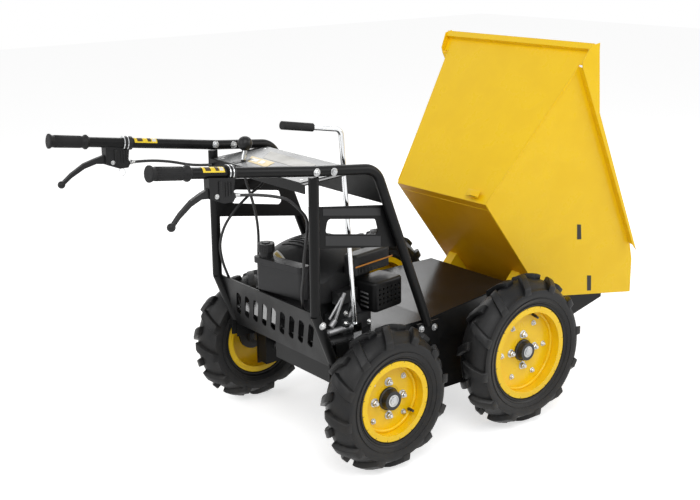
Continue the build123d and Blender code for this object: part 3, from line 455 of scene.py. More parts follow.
def seenBy(tree, *labels):
    # 1 for the named kinds of ray, 0 for the rest
    rays = addNode(tree, "LightPath")
    seen = rays.outputs[labels[0]]
    for label in labels[1:]:
        seen = mathNode(tree, "MAXIMUM", seen, rays.outputs[label])
    return seen


def mixShaders(tree, mask, first, second):
    sockets = {0: mask, 1: first.outputs[0], 2: second.outputs[0]}
    return fill(tree, addNode(tree, "MixShader"), sockets).outputs[0]


def makeLight():
    for name, place, size, power, target in lamps:
        data = bpy.data.lights.new(name, "AREA")
        data.shape = "DISK"
        data.size = size
        data.energy = power
        lamp = bpy.data.objects.new(name, data)
        bpy.context.scene.collection.objects.link(lamp)
        lamp.location = place
        lamp.rotation_mode = "QUATERNION"
        lamp.rotation_quaternion = (Vector(target) - Vector(place)).to_track_quat("-Z", "Y")
    world = bpy.data.worlds.new("studio")
    bpy.context.scene.world = world
    world.use_nodes = True
    tree = world.node_tree
    tree.nodes.clear()
    shown = addNode(tree, "Background", Color=white, Strength=studio["shown"])
    soft = addNode(tree, "Background", Color=white, Strength=studio["soft"])
    seen = seenBy(tree, "Is Camera Ray", "Is Glossy Ray", "Is Transmission Ray")
    addNode(tree, "OutputWorld", Surface=mixShaders(tree, seen, soft, shown))


def makeFloor():
    deselectAll()
    bpy.ops.mesh.primitive_plane_add(size=studio["floorSize"], location=(0, 0, 0))
    floor = bpy.context.object
    floor.name = "studioFloor"
    bpy.ops.object.mode_set(mode="EDIT")
    bpy.ops.mesh.subdivide(number_cuts=3)
    bpy.ops.object.mode_set(mode="OBJECT")
    settle(floor)
    material = bpy.data.materials.new("studioFloor")
    material.use_nodes = True
    tree = material.node_tree
    tree.nodes.clear()
    diffuse = addNode(tree, "BsdfDiffuse", Color=studio["floorColour"])
    glow = addNode(tree, "Emission", Color=white, Strength=studio["floorGlow"])
    seen = seenBy(tree, "Is Camera Ray", "Is Glossy Ray")
    lit = mixShaders(tree, seen, addNode(tree, "Emission", Strength=0), glow)
    both = fill(tree, addNode(tree, "AddShader"), {0: diffuse.outputs[0], 1: lit})
    addNode(tree, "OutputMaterial", Surface=both.outputs[0])
    floor.data.materials.append(material)


makeCamera()
makeLight()
makeFloor()
print("studio ready")

# Tyres

tyreShape = {
    "width": 0.11, "tread": 0.096, "beadHalf": 0.0385, "lugs": 12, "lugHeight": 0.014, "lugHalf": 0.013,
    "overlap": 0.006, "sweep": 28.0, "around": 96, "bulge": 0.56,
    # raised rings on the sidewall: out from the rim, in from the tyre's width; and their own radius
    "rings": [(0.0145, 0.0068), (0.027, 0.0022)], "ringRadius": 0.0012,
}


def carcassRings(outer, flange):
    # section of the carcass from bead to bead, as (place along the axle, radius)
    crown = outer - tyreShape["lugHeight"]
    half, tread, bead = tyreShape["width"] / 2, tyreShape["tread"] / 2, tyreShape["beadHalf"]
    bulge = flange + (crown - flange) * tyreShape["bulge"]
    side = [(bead, flange - 0.011), (bead + 0.0005, flange + 0.0012), (bead + 0.006, flange + 0.0035),
            (bead + 0.0066, flange + 0.0075), (bead + 0.0048, flange + 0.0085),
            (half - 0.0048, flange + 0.0175), (half - 0.0012, bulge - 0.005), (half - 0.0008, bulge + 0.003),
            (half - 0.0028, bulge + 0.0095),
            (tread - 0.0015, crown - 0.0235), (tread - 0.009, crown - 0.0172), (0.028, crown - 0.0098),
            (0.014, crown - 0.0028), (0.005, crown - 0.0004)]
    return [(-a, r) for a, r in side] + [(a, r) for a, r in reversed(side)]


def lugBlock(name, outer, flange, row):
    # one lug: a cube turned, subdivided and drawn out from the tread's middle over the shoulder
    crown = outer - tyreShape["lugHeight"]
    bulge = flange + (crown - flange) * tyreShape["bulge"]
    half, tread = tyreShape["width"] / 2, tyreShape["tread"] / 2
    slope = math.tan(math.radians(tyreShape["sweep"]))
    width = tyreShape["lugHalf"]
    # place along the axle, foot, top and half width of each section
    sections = [
        (-tyreShape["overlap"], crown - 0.006, outer - 0.0008, width * 0.96),
        (0.004, crown - 0.006, outer, width),
        (0.018, crown - 0.008, outer - 0.0036, width),
        (0.032, crown - 0.015, outer - 0.0108, width * 0.99),
        (tread - 0.003, crown - 0.03, outer - 0.0206, width),
        (half - 0.0022, bulge + 0.004, bulge + 0.0225, width),
        (half, bulge + 0.001, bulge + 0.0185, width * 0.95),
    ]
    deselectAll()
    bpy.ops.mesh.primitive_cube_add(size=1, location=(0, 0, 0))
    lug = bpy.context.object
    lug.name = name
    bpy.ops.object.mode_set(mode="EDIT")
    bpy.ops.mesh.select_all(action="DESELECT")
    mesh = bmesh.from_edit_mesh(lug.data)
    for edge in [edge for edge in mesh.edges if abs(edge.verts[0].co.z - edge.verts[1].co.z) > 0.5]:
        edge.select = True
    bmesh.update_edit_mesh(lug.data)
    bpy.ops.mesh.subdivide(number_cuts=len(sections) - 2)
    mesh = bmesh.from_edit_mesh(lug.data)
    for vert in mesh.verts:
        place, foot, top, halfWidth = sections[round((vert.co.z + 0.5) * (len(sections) - 1))]
        # the foot is a little wider than the top
        atTop = vert.co.y > 0
        side = math.copysign(halfWidth * (0.96 if atTop else 1.14), vert.co.x) + place * slope
        vert.co = Vector((side, -(top if atTop else foot), row * place))
    bmesh.update_edit_mesh(lug.data)
    bpy.ops.object.mode_set(mode="OBJECT")
    outward(lug)
    useModifier(lug, "BEVEL", width=0.0022, segments=2, limit_method="ANGLE", angle_limit=math.radians(40))
    return lug


def makeTyre(axle, side):
    name = f"tyre_{axle}_{side}"
    low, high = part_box(name)
    outer = (high - low).z / 2
    rimLow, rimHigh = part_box(f"rim_{axle}_{side}")
    flange = (rimHigh - rimLow).z / 2
    parts = [turned(name + "Carcass", carcassRings(outer, flange), tyreShape["around"], False)]
    for outwards, inwards in tyreShape["rings"]:
        for edge in (-1, 1):
            along = tyreShape["width"] / 2 - inwards
            parts.append(torus(flange + outwards, tyreShape["ringRadius"], edge * along, 72, 6))
    pitch = 360 / tyreShape["lugs"]
    for row in (-1, 1):
        start = 0.0 if row > 0 else pitch / 2  # the rows are staggered by half a pitch
        turns = [turnedBy(start + step * pitch, "Z") for step in range(tyreShape["lugs"])]
        parts += copiesOf(lugBlock(name + "Lug", outer, flange, row), name + "LugCopy", turns)
    tyre = joined(parts, name + "Full")
    # local x stays forward, local -y points to the ground and local z runs outwards to the left
    tyre.data.transform(Matrix.Translation((low + high) / 2) @ turnedBy(90, "X"))
    finish(tyre, name + "Full", "tyreRubber", f"wheel_{axle}_{side}", 38, (name,))


wheels = [(axle, side) for axle in ("rear", "front") for side in ("left", "right")]
for axleName, sideName in wheels:
    makeTyre(axleName, sideName)
print("tyres ready")

# Small shared shapes: flat patches, bent labels and bolts set on a face

labelSheet = 0.0004


def patch(name, corners, cuts=1):
    # a flat four-cornered sheet, its corners in turn
    deselectAll()
    bpy.ops.mesh.primitive_plane_add(size=2)
    sheet = bpy.context.object
    sheet.name = name
    places = [Vector(corner) for corner in corners]
    for vert in sheet.data.vertices:
        side = (0 if vert.co.x < 0 else 1) if vert.co.y < 0 else (3 if vert.co.x < 0 else 2)
        vert.co = places[side]
    if cuts > 1:
        bpy.ops.object.mode_set(mode="EDIT")
        bpy.ops.mesh.select_all(action="SELECT")
        bpy.ops.mesh.subdivide(number_cuts=cuts)
        bpy.ops.object.mode_set(mode="OBJECT")
    return sheet


def thicken(sheet, thickness):
    useModifier(sheet, "SOLIDIFY", thickness=thickness, offset=0)
    outward(sheet)


def thickPatch(name, corners, thickness):
    sheet = patch(name, corners)
    thicken(sheet, thickness)
    return sheet


def gridSheet(name, columns):
    deselectAll()
    bpy.ops.mesh.primitive_grid_add(x_subdivisions=columns, y_subdivisions=2, size=2)
    sheet = bpy.context.object
    sheet.name = name
    return sheet


def sleeveLabel(name, start, end, radius, low, high):
    # a label bent round a tube, between two angles from straight up
    label = gridSheet(name, 14)
    along = (end - start).normalized()
    side = along.cross(Vector((0, 0, 1))).normalized()
    up = side.cross(along)
    for vert in label.data.vertices:
        angle = math.radians(low + (high - low) * (vert.co.x + 1) / 2)
        share = (vert.co.y + 1) / 2
        vert.co = start.lerp(end, share) + (up * math.cos(angle) + side * math.sin(angle)) * radius
    thicken(label, labelSheet)
    smooth(label)
    return label


def boltsOn(name, sizes, places, direction):
    # sizes are those of hexBolt, and each bolt is turned by another angle, as if tightened by hand
    turns = [Matrix.Translation(place) @ facing(direction) @ turnedBy(17 + 23 * number, "Z")
             for number, place in enumerate(places)]
    finish(copiesOf(hexBolt(name, *sizes), name + "Copy", turns), name, "zinc")


# Wheels: wheel bolts, hub faces, rolled rim edges and valves

wheelShape = {
    "discDepth": 0.033,
    # bolts: head width, head height, washer, thread
    "nut": (0.0095, 0.01, 0.0125, 0.0055), "smallBolt": (0.0062, 0.0055, 0.0085, 0.003),
    # how far each bolt is turned about itself, and how that grows with its angle on the circle
    "nutTwist": (0.3, 1.3), "smallTwist": (0.4, 1),
    # circles of bolts: how many, radius, angle of the first
    "nuts": (4, 0.049, 0.0),
    "smallBolts": {"rear": (4, 0.076, 45.0), "front": (6, 0.087, 0.0)},
    # hub and shaft end: height above the disc, radius
    "hubFace": [(0.0002, 0.033), (0.005, 0.033), (0.0075, 0.03), (0.0215, 0.0262), (0.0238, 0.0238)],
    "hubTop": 0.0238,
    "ring": [(-0.0005, 0.0172), (0.0011, 0.0172), (0.0014, 0.0165), (0.0014, 0.0135), (0.0004, 0.0132)],
    "end": [(0, 0.0112), (0.003, 0.0112), (0.0036, 0.0102)],
    "cup": [(0.003, 0.0048), (0.0045, 0.0048), (0.0046, 0.002)],
    # rolled edge's radius; pressed ring's two radii; the barrel's curve: in from the edge, radius, height
    "edgeRoll": 0.0022, "pressRing": (0.039, 0.0012), "barrelCurve": (0.0215, 0.0052, 0.0022),
    "valveAngle": {"rear": -35.0, "front": 72.0}, "valveIn": 0.03, "valveRise": 0.004, "valveLean": -0.2,
    "stem": (0, 0.018, 0.0044, 16), "cap": (0.0175, 0.026, 0.0038, 12),
    # short dark marks round the rim edge: how many, angle of the first, low and high corner
    "ticks": 16, "tickStart": 7,
    "tickLow": (-0.0048, -0.0007, -0.0012), "tickHigh": (0.0004, 0.0007, 0.0002),
}


def wheelPlace(axle, side):
    # place of the wheel with its axle along local Z, outwards, with the rim's radius and half width
    low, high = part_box(f"rim_{axle}_{side}")
    turn = turnedBy(-90, "X") @ turnedBy(180, "Z") if side == "left" else turnedBy(90, "X")
    return Matrix.Translation((low + high) / 2) @ turn, (high - low).z / 2, (high - low).y / 2


def boltCircle(sizes, circle, disc, place, twist, follow):
    # bolts on a circle of the wheel's disc, each turned a little further than its angle
    count, reach, start = circle
    turns = []
    for number in range(count):
        angle = math.radians(start + 360 / count * number)
        spread = Matrix.Translation((math.cos(angle) * reach, math.sin(angle) * reach, disc))
        turns.append(place @ spread @ Matrix.Rotation(angle * follow + twist, 4, "Z"))
    return copiesOf(hexBolt("wheelBolt", *sizes), "wheelBoltCopy", turns)


def makeWheelFace(axle, side):
    place, flange, edge = wheelPlace(axle, side)
    shape = wheelShape
    disc = edge - shape["discDepth"]

    def onWheel(pieces, name, look, angle=None):
        finish(pieces, f"{name}_{axle}_{side}", look, f"wheel_{axle}_{side}", angle)

    def close(pieces, name, look, angle=None):
        piece = joined(pieces, name)
        piece.data.transform(place)
        onWheel(piece, name, look, angle)

    fasteners = boltCircle(shape["nut"], shape["nuts"], disc, place, *shape["nutTwist"])
    smallBolts = shape["smallBolts"][axle]
    fasteners += boltCircle(shape["smallBolt"], smallBolts, disc, place, *shape["smallTwist"])
    onWheel(fasteners, "wheelBolts", "zinc")
    # the hub's flat face, a bright ring and the end of the shaft
    close([turned("hubFace", raised(shape["hubFace"], disc), 48)], "hubFace", "hubBlack", 30)
    top = disc + shape["hubTop"]
    shaft = [turned(name, raised(shape[name], top), segments)
             for name, segments in (("ring", 40), ("end", 32), ("cup", 20))]
    close(shaft, "shaftEnd", "zinc", 30)
    # rolled rim edges, the curve from the barrel into the disc, and a pressed ring on the disc
    roll = shape["edgeRoll"]
    inward, curve, lift = shape["barrelCurve"]
    pressed, press = shape["pressRing"]
    rolls = []
    for major, minor, along in ((flange - roll, roll, edge - roll), (flange - roll, roll, -edge + roll),
                                (flange - inward, curve, disc + lift), (pressed, press, disc)):
        rolls.append(torus(major, minor, along, 96, 12))
    close(rolls, "rimRolls", "rimYellow", 60)
    # the valve, and short dark marks round the rim edge
    angle = math.radians(shape["valveAngle"][axle])
    outwards = Vector((math.cos(angle), math.sin(angle), 0))
    base = outwards * (flange - shape["valveIn"]) + Vector((0, 0, disc + shape["valveRise"]))
    lean = (outwards * shape["valveLean"] + Vector((0, 0, 1))).normalized()
    dark = []
    for start, end, radius, segments in (shape["stem"], shape["cap"]):
        dark.append(rod("valve", base + lean * start, base + lean * end, radius, segments))
    rimEdge = Vector((flange, 0, edge))
    for number in range(shape["ticks"]):
        tick = boxPiece("tick", rimEdge + Vector(shape["tickLow"]), rimEdge + Vector(shape["tickHigh"]))
        tick.data.transform(turnedBy(360 / shape["ticks"] * number + shape["tickStart"], "Z"))
        dark.append(tick)
    close(dark, "valve", "cableBlack")


for axleName, sideName in wheels:
    makeWheelFace(axleName, sideName)
print("wheel faces ready")

# Frame bolts, handlebar grips, labels and clips

frameShape = {
    "tubeRadius": 0.014, "tubeOut": 264, "plateOut": 252, "bolt": (0.0078, 0.005, 0.0105, 0.0035),
    # x and z of the bolts on the tubes' outer sides, and on the foot plates
    "tubeBolts": [(-165, 848), (-110, 842), (-157, 429)],
    "plateBolts": [(202, 336), (252, 331), (-114, 288)],
    "innerBolt": (0.0078, 0.006, 0.0105, 0.004), "innerBolts": [(-164, 236, 852), (-103, 236, 843)],
}


def makeFrameBolts():
    shape = frameShape
    for side, name in ((1, "Left"), (-1, "Right")):
        places = [spot(x, side * shape["tubeOut"], z) for x, z in shape["tubeBolts"]]
        places += [spot(x, side * shape["plateOut"], z) for x, z in shape["plateBolts"]]
        boltsOn("frameBolts" + name, shape["bolt"], places, (0, side, 0))
    boltsOn("innerBolts", shape["innerBolt"], [spot(*place) for place in shape["innerBolts"]], (0, -1, 0))


gripShape = {
    # the handlebar's axis on the left, from the grip's end to the bend beside the console
    "tail": (-648, 281, 914), "kink": (-156, 250, 848),
    # along the bar from the outer end, and radius
    "rings": [(-0.0048, 0.0135), (-0.0048, 0.0175), (-0.0038, 0.02), (-0.0012, 0.0203), (0.0016, 0.0194),
              (0.0046, 0.0168), (0.012, 0.0161), (0.03, 0.0166), (0.052, 0.0169), (0.074, 0.0165),
              (0.088, 0.016), (0.0935, 0.0166), (0.0965, 0.0192), (0.0995, 0.0203), (0.1025, 0.0198),
              (0.105, 0.017), (0.1075, 0.0156), (0.1078, 0.0141)],
    # fine ribs along the sleeve: how many, where they start and end, their own radius
    "ribs": 28, "ribStart": (0.012, 0.0163), "ribEnd": (0.086, 0.016), "ribRadius": 0.0008,
}


def barAxis(side):
    (tailX, tailY, tailZ), (kinkX, kinkY, kinkZ) = gripShape["tail"], gripShape["kink"]
    tail, kink = spot(tailX, side * tailY, tailZ), spot(kinkX, side * kinkY, kinkZ)
    return tail, (kink - tail).normalized()


def makeGrips():
    shape = gripShape
    grips = []
    for side in (1, -1):
        tail, along = barAxis(side)
        grip = aim(turned("grip", shape["rings"], 56), tail, along)
        smooth(grip, 40)
        grips.append(grip)
        for number in range(shape["ribs"]):
            angle = 2 * math.pi / shape["ribs"] * number
            (start, low), (end, high) = shape["ribStart"], shape["ribEnd"]
            rib = rod("rib", (low * math.cos(angle), low * math.sin(angle), start),
                      (high * math.cos(angle), high * math.sin(angle), end), shape["ribRadius"], 6)
            grips.append(aim(rib, tail, along))
    finish(grips, "gripSleeves", "gripRubber", replaced=("grips",))


def alongBar(side, x):
    tail, along = barAxis(side)
    return tail + along * ((spot(x, 0, 0).x - tail.x) / along.x)


barShape = {
    "clips": [(1, -444), (1, -433), (-1, -438), (-1, -428)],
    "clipRings": [(0, 0.0146), (0.0003, 0.0198), (0.0026, 0.0198), (0.0029, 0.0146)],
    # blank labels: name, side, low and high x; and their angles round the bar
    "labels": [("Left", 1, -412, -345), ("Right", -1, -512, -450)], "labelAngles": (-12, 78),
    "labelLift": 0.0004, "blockLift": 0.0008,
    # blocks on the labels: first and last share of the length, angles
    "darkBlocks": [(0.12, 0.36, 8, 62), (0.58, 0.74, 8, 62)], "whiteBlocks": [(0.78, 0.95, 20, 60)],
}


def makeBarTrim():
    shape = barShape
    clips = []
    for side, x in shape["clips"]:
        clip = turned("clip", shape["clipRings"], 40, False)
        clips.append(aim(clip, alongBar(side, x), barAxis(side)[1]))
    finish(clips, "barClips", "chrome", angle=30)
    tube = frameShape["tubeRadius"]
    for name, side, low, high in shape["labels"]:
        start, end = alongBar(side, low), alongBar(side, high)
        gold = sleeveLabel("barLabel" + name, start, end, tube + shape["labelLift"], *shape["labelAngles"])
        finish(gold, "barLabel" + name, "labelYellow")
        for key, label, look in (("darkBlocks", "barLabelDark", "labelBrown"),
                                 ("whiteBlocks", "barLabelWhite", "labelWhite")):
            blocks = [sleeveLabel("block", start.lerp(end, first), start.lerp(end, last),
                                  tube + shape["blockLift"], *angles) for first, last, *angles in shape[key]]
            finish(blocks, label + name, look)


makeFrameBolts()
makeGrips()
makeBarTrim()
print("handlebars ready")

# Skip: dark bars, latch tab and weld seams, placed in the tipped skip's own side view

skipShape = {
    "edge": (754, 306), "tip": 52.8, "floorHalf": 204, "lean": 10.4,
    # corners of the two dark bars: along the floor line, up the wall
    "stripes": [[(-119, 223), (-73, 198), (-61, 211), (-107, 234)],
                [(71, 167), (120, 141), (132, 153), (84, 179)]],
    "stripeLift": 0.4, "stripeSheet": 0.0003,
    # the latch tab: along the floor line, up, across; and its turn from the floor, in degrees
    "latchPlace": (-444, 8, -148), "latchTurn": -108,
    # two folds of the latch tab: low corner, high corner, bevel
    "latch": [((0, -0.026, 0), (0.022, 0.026, 0.0035), 0.001),
              ((0.0, -0.024, 0.0025), (0.0035, 0.004, 0.013), 0.0008)],
    # weld beads on each side wall: from, to, radius
    "beads": [((-430, 2), (-2, 2), 0.0016), ((-433, 8), (-556, 452), 0.0015)], "beadLift": 0.2,
    "seam": (-404, -0.2, 200), "seamRadius": 0.0009,
}


def skipSpot(along, up, y):
    tip = math.radians(skipShape["tip"])
    x = skipShape["edge"][0] + along * math.cos(tip) + up * math.sin(tip)
    z = skipShape["edge"][1] - along * math.sin(tip) + up * math.cos(tip)
    return spot(x, y, z)


def onSkipSide(place, lift, side):
    along, up = place
    lean = math.radians(skipShape["lean"])
    y = skipShape["floorHalf"] + up * math.tan(lean) + lift / math.cos(lean)
    return skipSpot(along, up, side * y)


def makeSkipTrim():
    shape = skipShape
    stripes = [thickPatch("stripe", [onSkipSide(place, shape["stripeLift"], -1) for place in corners],
                          shape["stripeSheet"]) for corners in shape["stripes"]]
    finish(stripes, "sideStripes", "labelBlack", "skip")
    # the latch tab at the floor's rear edge, with its folded ear
    latch = joined([boxPiece("fold", low, high, bevel) for low, high, bevel in shape["latch"]], "latch")
    turn = turnedBy(shape["tip"] + shape["latchTurn"], "Y")
    latch.data.transform(Matrix.Translation(skipSpot(*shape["latchPlace"])) @ turn)
    finish(latch, "latchTab", "skipYellow", "skip", 32)
    # weld beads along the corner seams, and the seam across the floor
    lift = shape["beadLift"]
    beads = [rod("bead", onSkipSide(start, lift, side), onSkipSide(end, lift, side), radius, 8)
             for side in (1, -1) for start, end, radius in shape["beads"]]
    along, up, half = shape["seam"]
    beads.append(rod("seam", skipSpot(along, up, -half), skipSpot(along, up, half), shape["seamRadius"], 8))
    finish(beads, "skipSeams", "skipYellow", "skip")


makeSkipTrim()
print("skip trim ready")

# Sheets and labels laid on the faces of the frame

def drape(name, corners, nodeName, direction, lift, cuts, thickness=labelSheet):
    sheet = patch(name, corners, cuts)
    node = nodes[nodeName]
    inward = node.matrix_world.inverted()
    travel = Vector(direction).normalized()
    for vert in sheet.data.vertices:
        start = inward @ (vert.co - travel * 0.5)
        found, place = node.ray_cast(start, inward.to_3x3() @ travel)[:2]
        if found:
            vert.co = node.matrix_world @ place - travel * lift
    thicken(sheet, thickness)
    smooth(sheet, 40)
    return sheet


consoleShape = {
    "above": 830,
    "plate": [(-183, -216), (3, -216), (3, 216), (-183, 216)], "plateLift": 0.0011, "plateSheet": 0.0012,
    "pale": [(-88, 104), (-26, 158), (-40, -88), (-96, -120)], "paleLift": 0.002,
    "gold": [(-139, 112), (-96, 150), (-99, 28), (-147, 2)], "goldLift": 0.0021,
    # white blocks on the gold label, as shares of its length and width
    "blocks": [(0.12, 0.42), (0.52, 0.72)], "blockSides": (0.25, 0.75), "blockLift": 0.0026,
    "screws": [(-166, -196, 815.5), (-20, -196, 824.6), (-20, 196, 824.6), (-166, 196, 815.5)],
    "screwRings": [(0, 0.0062), (0.0012, 0.0062), (0.0026, 0.0048), (0.003, 0.002)],
    # the gear lever's bright flat stem, over its black core
    "stem": ((-146, 118, 821), (-139.2, 118, 850)), "stemRadius": 0.0072,
}


def makeConsoleTop():
    shape = consoleShape

    def onTop(name, corners, lift, cuts, thickness=labelSheet):
        places = [spot(x, y, shape["above"]) for x, y in corners]
        return drape(name, places, "console", (0, 0, -1), lift, cuts, thickness)

    def onGold(share, across):
        (ax, ay), (bx, by), (cx, cy), (dx, dy) = shape["gold"]
        return ((ax + (dx - ax) * share) * (1 - across) + (bx + (cx - bx) * share) * across,
                (ay + (dy - ay) * share) * (1 - across) + (by + (cy - by) * share) * across)

    plate = onTop("consolePlate", shape["plate"], shape["plateLift"], 3, shape["plateSheet"])
    finish(plate, "consolePlate", "consoleGrey")
    finish(onTop("consolePale", shape["pale"], shape["paleLift"], 3), "consolePale", "labelPale")
    finish(onTop("consoleGold", shape["gold"], shape["goldLift"], 3), "consoleGold", "labelGold")
    near, far = shape["blockSides"]
    blocks = [onTop("block", [onGold(first, near), onGold(first, far), onGold(last, far), onGold(last, near)],
                    shape["blockLift"], 2) for first, last in shape["blocks"]]
    finish(blocks, "consoleWhite", "labelWhite")
    screws = []
    for place in shape["screws"]:
        screw = turned("screw", shape["screwRings"], 20)
        screw.data.transform(Matrix.Translation(spot(*place)))
        screws.append(screw)
    finish(screws, "consoleScrews", "zinc")
    start, end = shape["stem"]
    finish(rod("stem", spot(*start), spot(*end), shape["stemRadius"], 20), "gearStem", "chrome")


panelShape = {
    # corners, x and z, of the blank dark labels on the side plates
    "labels": [[(-129, 723), (66, 692), (66, 713), (-129, 742)],
               [(-122, 640), (66, 606), (66, 634), (-122, 667)]],
    "outside": 237, "lift": 0.0007,
}


def makePanelLabels():
    labels = []
    for side in (1, -1):
        for label in panelShape["labels"]:
            corners = [spot(x, side * panelShape["outside"], z) for x, z in label]
            labels.append(drape("label", corners, "side_plates", (0, -side, 0), panelShape["lift"], 2))
    finish(labels, "panelLabels", "labelGrey")


# Engine: the dome's louvres and band, cap ribs, air cleaner, silencer guard, and bright rods painting
# highlights on the gearbox

engineShape = {
    "turn": 10, "dome": (28, 20, 378), "domeRadius": 212,
    # cooling louvres across the dome, and the two ridges beside them: width, lift and thickness
    "louvres": 11, "louvreStart": -58, "louvrePitch": 11, "louvreHalf": 52, "louvreTaper": 0.5,
    "louvre": (5.2, 1.0, 0.0022), "ridges": [(-74, 62), (74, 56)], "ridge": (3.5, 1.2, 0.0028),
    # the blank band: from, to, width, lift, thickness
    "band": ((-88, 62), (-112, -32), 17, 0.5, 0.0006), "bandCore": ((-90, 54), (-110, -22), 8, 0.9, 0.0006),
    "capRibs": 26, "capRibRadius": 0.0011, "capRibIn": 0.0004, "capRibEnds": (0.002, 0.003),
    "capTop": [(-0.001, 0.013), (0.002, 0.0128), (0.0028, 0.011)],
    # the orange line on the air cleaner: ends in from its box, heights of its corners; ribs below it
    "lineIn": 0.012, "lineHeights": (0.022, 0.033, 0.037, 0.026), "lineSheet": 0.0008, "lineProud": 0.0006,
    "coverRibs": 6, "coverPitch": 0.012, "coverRibLow": (0.01, -0.0012, 0.004),
    "coverRibHigh": (0.014, 0.001, 0.016), "coverBevel": 0.0005,
    # bright slots in the guard's rear end
    "slots": 4, "slotPitch": 0.013, "slotLow": (-0.0006, 0.014, 0.016), "slotHigh": (0.0006, 0.05, 0.0205),
    "slotBevel": 0.0003,
    "gearboxBolt": (0.006, 0.0045, 0.008, 0.003), "gearboxBolts": [(-18, 384), (-18, 414), (64, 372)],
    # bright rods beside the gearbox, painted highlight standing for the casting's glints: start, end, radius,
    # segments
    "glintRods": [((-74, -172, 364), (16, -176, 369), 0.0105, 24),
                 ((-8, -175, 367.6), (4, -175.4, 368.4), 0.013, 24),
                 ((-80, -172, 363.6), (-74, -172, 364), 0.0065, 16),
                 ((-12, -171, 470), (-46, -171, 398), 0.0058, 16),
                 ((-46, -171, 398), (-62, -171, 380), 0.0085, 16),
                 ((-22, -170, 458), (-66, -170, 402), 0.0038, 16),
                 ((16, -174, 424), (-4, -174, 388), 0.0052, 16)],
}


def domeStrip(name, start, end, width, lift, thickness, pieces):
    # a raised strip following the dome between two places of its plan
    centreX, centreY, centreZ = engineShape["dome"]
    reach = engineShape["domeRadius"]
    start, end = Vector(start), Vector(end)
    side = Vector((-(end - start).y, (end - start).x)).normalized() * width / 2
    strip = gridSheet(name, pieces)
    for vert in strip.data.vertices:
        place = start.lerp(end, (vert.co.x + 1) / 2) + side * vert.co.y
        rise = reach * reach - (place.x - centreX) ** 2 - (place.y - centreY) ** 2
        vert.co = spot(place.x, place.y, centreZ + (math.sqrt(max(rise, 0)) + lift))
    thicken(strip, thickness)
    return strip


def makeDomeTrim():
    shape = engineShape
    turn = math.radians(shape["turn"])
    across, along = Vector((-math.sin(turn), math.cos(turn))), Vector((math.cos(turn), math.sin(turn)))
    centre = Vector(shape["dome"][:2])
    louvres = []
    for number in range(shape["louvres"]):
        middle = centre + along * (shape["louvreStart"] + shape["louvrePitch"] * number)
        half = shape["louvreHalf"] - shape["louvreTaper"] * abs(number - shape["louvres"] // 2)
        reach = across * half
        louvres.append(domeStrip("louvre", middle - reach, middle + reach, *shape["louvre"], 10))
    for shift, half in shape["ridges"]:
        middle, reach = centre + along * shift, across * half
        louvres.append(domeStrip("ridge", middle - reach, middle + reach, *shape["ridge"], 12))
    finish(louvres, "domeLouvres", "shroudBlack", angle=30)
    finish(domeStrip("band", *shape["band"], 14), "domeBand", "labelWhite")
    finish(domeStrip("core", *shape["bandCore"], 14), "domeBandCore", "labelGold")


def makeCapRibs():
    shape = engineShape
    low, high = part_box("fuel_cap")
    middle = (low + high) / 2
    radius = (high.x - low.x) / 2 - shape["capRibIn"]
    foot, top = low.z + shape["capRibEnds"][0], high.z - shape["capRibEnds"][1]
    ribs = []
    for number in range(shape["capRibs"]):
        angle = 2 * math.pi * number / shape["capRibs"]
        x, y = middle.x + math.cos(angle) * radius, middle.y + math.sin(angle) * radius
        ribs.append(rod("rib", (x, y, foot), (x, y, top), shape["capRibRadius"], 8))
    button = turned("button", raised(shape["capTop"], high.z), 32)
    button.data.transform(Matrix.Translation((middle.x, middle.y, 0)))
    finish(ribs + [button], "capRibs", "tankGrey")


def boxRow(name, base, low, high, step, count, bevel):
    # a row of small bars, placed from the corner of a node's box
    return [boxPiece(name, base + Vector(low) + step * number, base + Vector(high) + step * number, bevel)
            for number in range(count)]


def makeEngineTrim():
    shape = engineShape
    low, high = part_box("air_filter_cover")
    left, right, face = low.x + shape["lineIn"], high.x - shape["lineIn"], low.y - shape["lineProud"]
    ends = zip((left, right, right, left), shape["lineHeights"])
    line = thickPatch("line", [(x, face, low.z + height) for x, height in ends], shape["lineSheet"])
    finish(line, "coverLine", "stripeOrange")
    step = Vector((shape["coverPitch"], 0, 0))
    ribs = boxRow("rib", low, shape["coverRibLow"], shape["coverRibHigh"], step, shape["coverRibs"],
                  shape["coverBevel"])
    finish(ribs, "coverRibs", "shroudBlack")
    low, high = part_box("muffler_guard")
    slots = boxRow("slot", low, shape["slotLow"], shape["slotHigh"], Vector((0, 0, shape["slotPitch"])),
                   shape["slots"], shape["slotBevel"])
    finish(slots, "guardSlots", "castMetalAndGlint")
    low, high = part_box("gearbox")
    places = [spot(x, low.y * 1000 + 1, z) for x, z in shape["gearboxBolts"]]
    boltsOn("gearboxBolts", shape["gearboxBolt"], places, (0, -1, 0))
    # the rods' bright metal against the dark gearbox is painted highlight for the casting's glints
    glintRods = [rod("glintRod", spot(*start), spot(*end), radius, segments)
                for start, end, radius, segments in shape["glintRods"]]
    finish(glintRods, "gearboxGlintRods", "castMetalAndGlint", angle=30)


makeConsoleTop()
makePanelLabels()
makeDomeTrim()
makeCapRibs()
makeEngineTrim()
print("console and engine trim ready")

# Control housings: ribs, pivot screws, cable adjusters and the parking clip

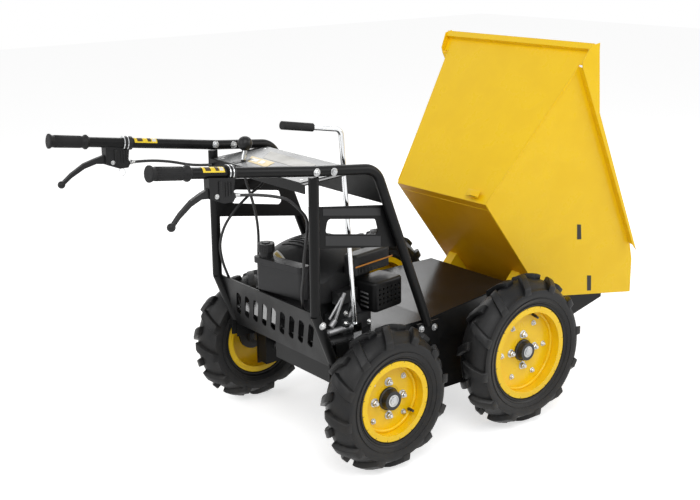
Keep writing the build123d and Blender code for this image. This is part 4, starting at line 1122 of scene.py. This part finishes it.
housingShape = {
    # y of the housing's faces, and which way each looks
    "faces": [(288, 1), (262, -1)], "sunk": 0.5,
    "pivot": (-478, 836), "screw": (0.004, 0.003, 0.0062, 0.002),
    # raised bars on each face: x, low and high z, half width, how proud, bevel
    "bars": [(-452, 832, 868, 0.0016, 1.6, 0.0005), (-444, 832, 868, 0.0016, 1.6, 0.0005),
             (-436, 836, 866, 0.0016, 1.6, 0.0005), (-468, 826, 872, 0.0042, 2.4, 0.0012)],
    # the bright adjuster where the cable leaves: from, to, radius; its y, its height on each side, its slope
    "adjuster": [(-430, -420, 0.0056), (-420, -414, 0.0072), (-414, -404, 0.0052)],
    "cableY": 271, "cableHeight": {1: 829, -1: 828}, "cableSlope": 0.13,
    # the wire clip hanging under the left housing
    "clip": [(-452, 270, 817), (-458, 270, 806), (-446, 273, 792), (-436, 270, 803),
             (-447, 270, 817)],
    "wireRadius": 0.0011,
}


def makeHousingTrim():
    shape = housingShape
    bars, screws = [], []
    for side in (1, -1):
        for face, sense in shape["faces"]:
            x, z = shape["pivot"]
            screw = hexBolt("screw", *shape["screw"])
            screws.append(aim(screw, spot(x, side * face, z), (0, side * sense, 0)))
            for x, low, high, half, proud, bevel in shape["bars"]:
                foot, top = side * (face - sense * shape["sunk"]), side * (face + sense * proud)
                near, far = sorted((foot / 1000, top / 1000))
                place = spot(x, 0, 0).x
                bars.append(boxPiece("bar", (place - half, near, low / 1000),
                                     (place + half, far, high / 1000), bevel))
        y, height = side * shape["cableY"], shape["cableHeight"][side]
        for first, last, radius in shape["adjuster"]:
            drop = (last - first) * shape["cableSlope"]
            start, end = spot(first, y, height), spot(last, y, height - drop)
            screws.append(rod("adjuster", start, end, radius, 20))
    finish(bars, "housingRibs", "shroudBlack")
    finish(screws, "housingScrews", "zinc", angle=30)
    route = [spot(*place) for place in shape["clip"]]
    wire = [rod("wire", first, last, shape["wireRadius"], 10) for first, last in zip(route, route[1:])]
    finish(wire, "parkingClip", "chrome")


makeHousingTrim()
print("control trim ready")

bpy.context.scene.view_settings.view_transform = "Standard"
bpy.context.view_layer.update()
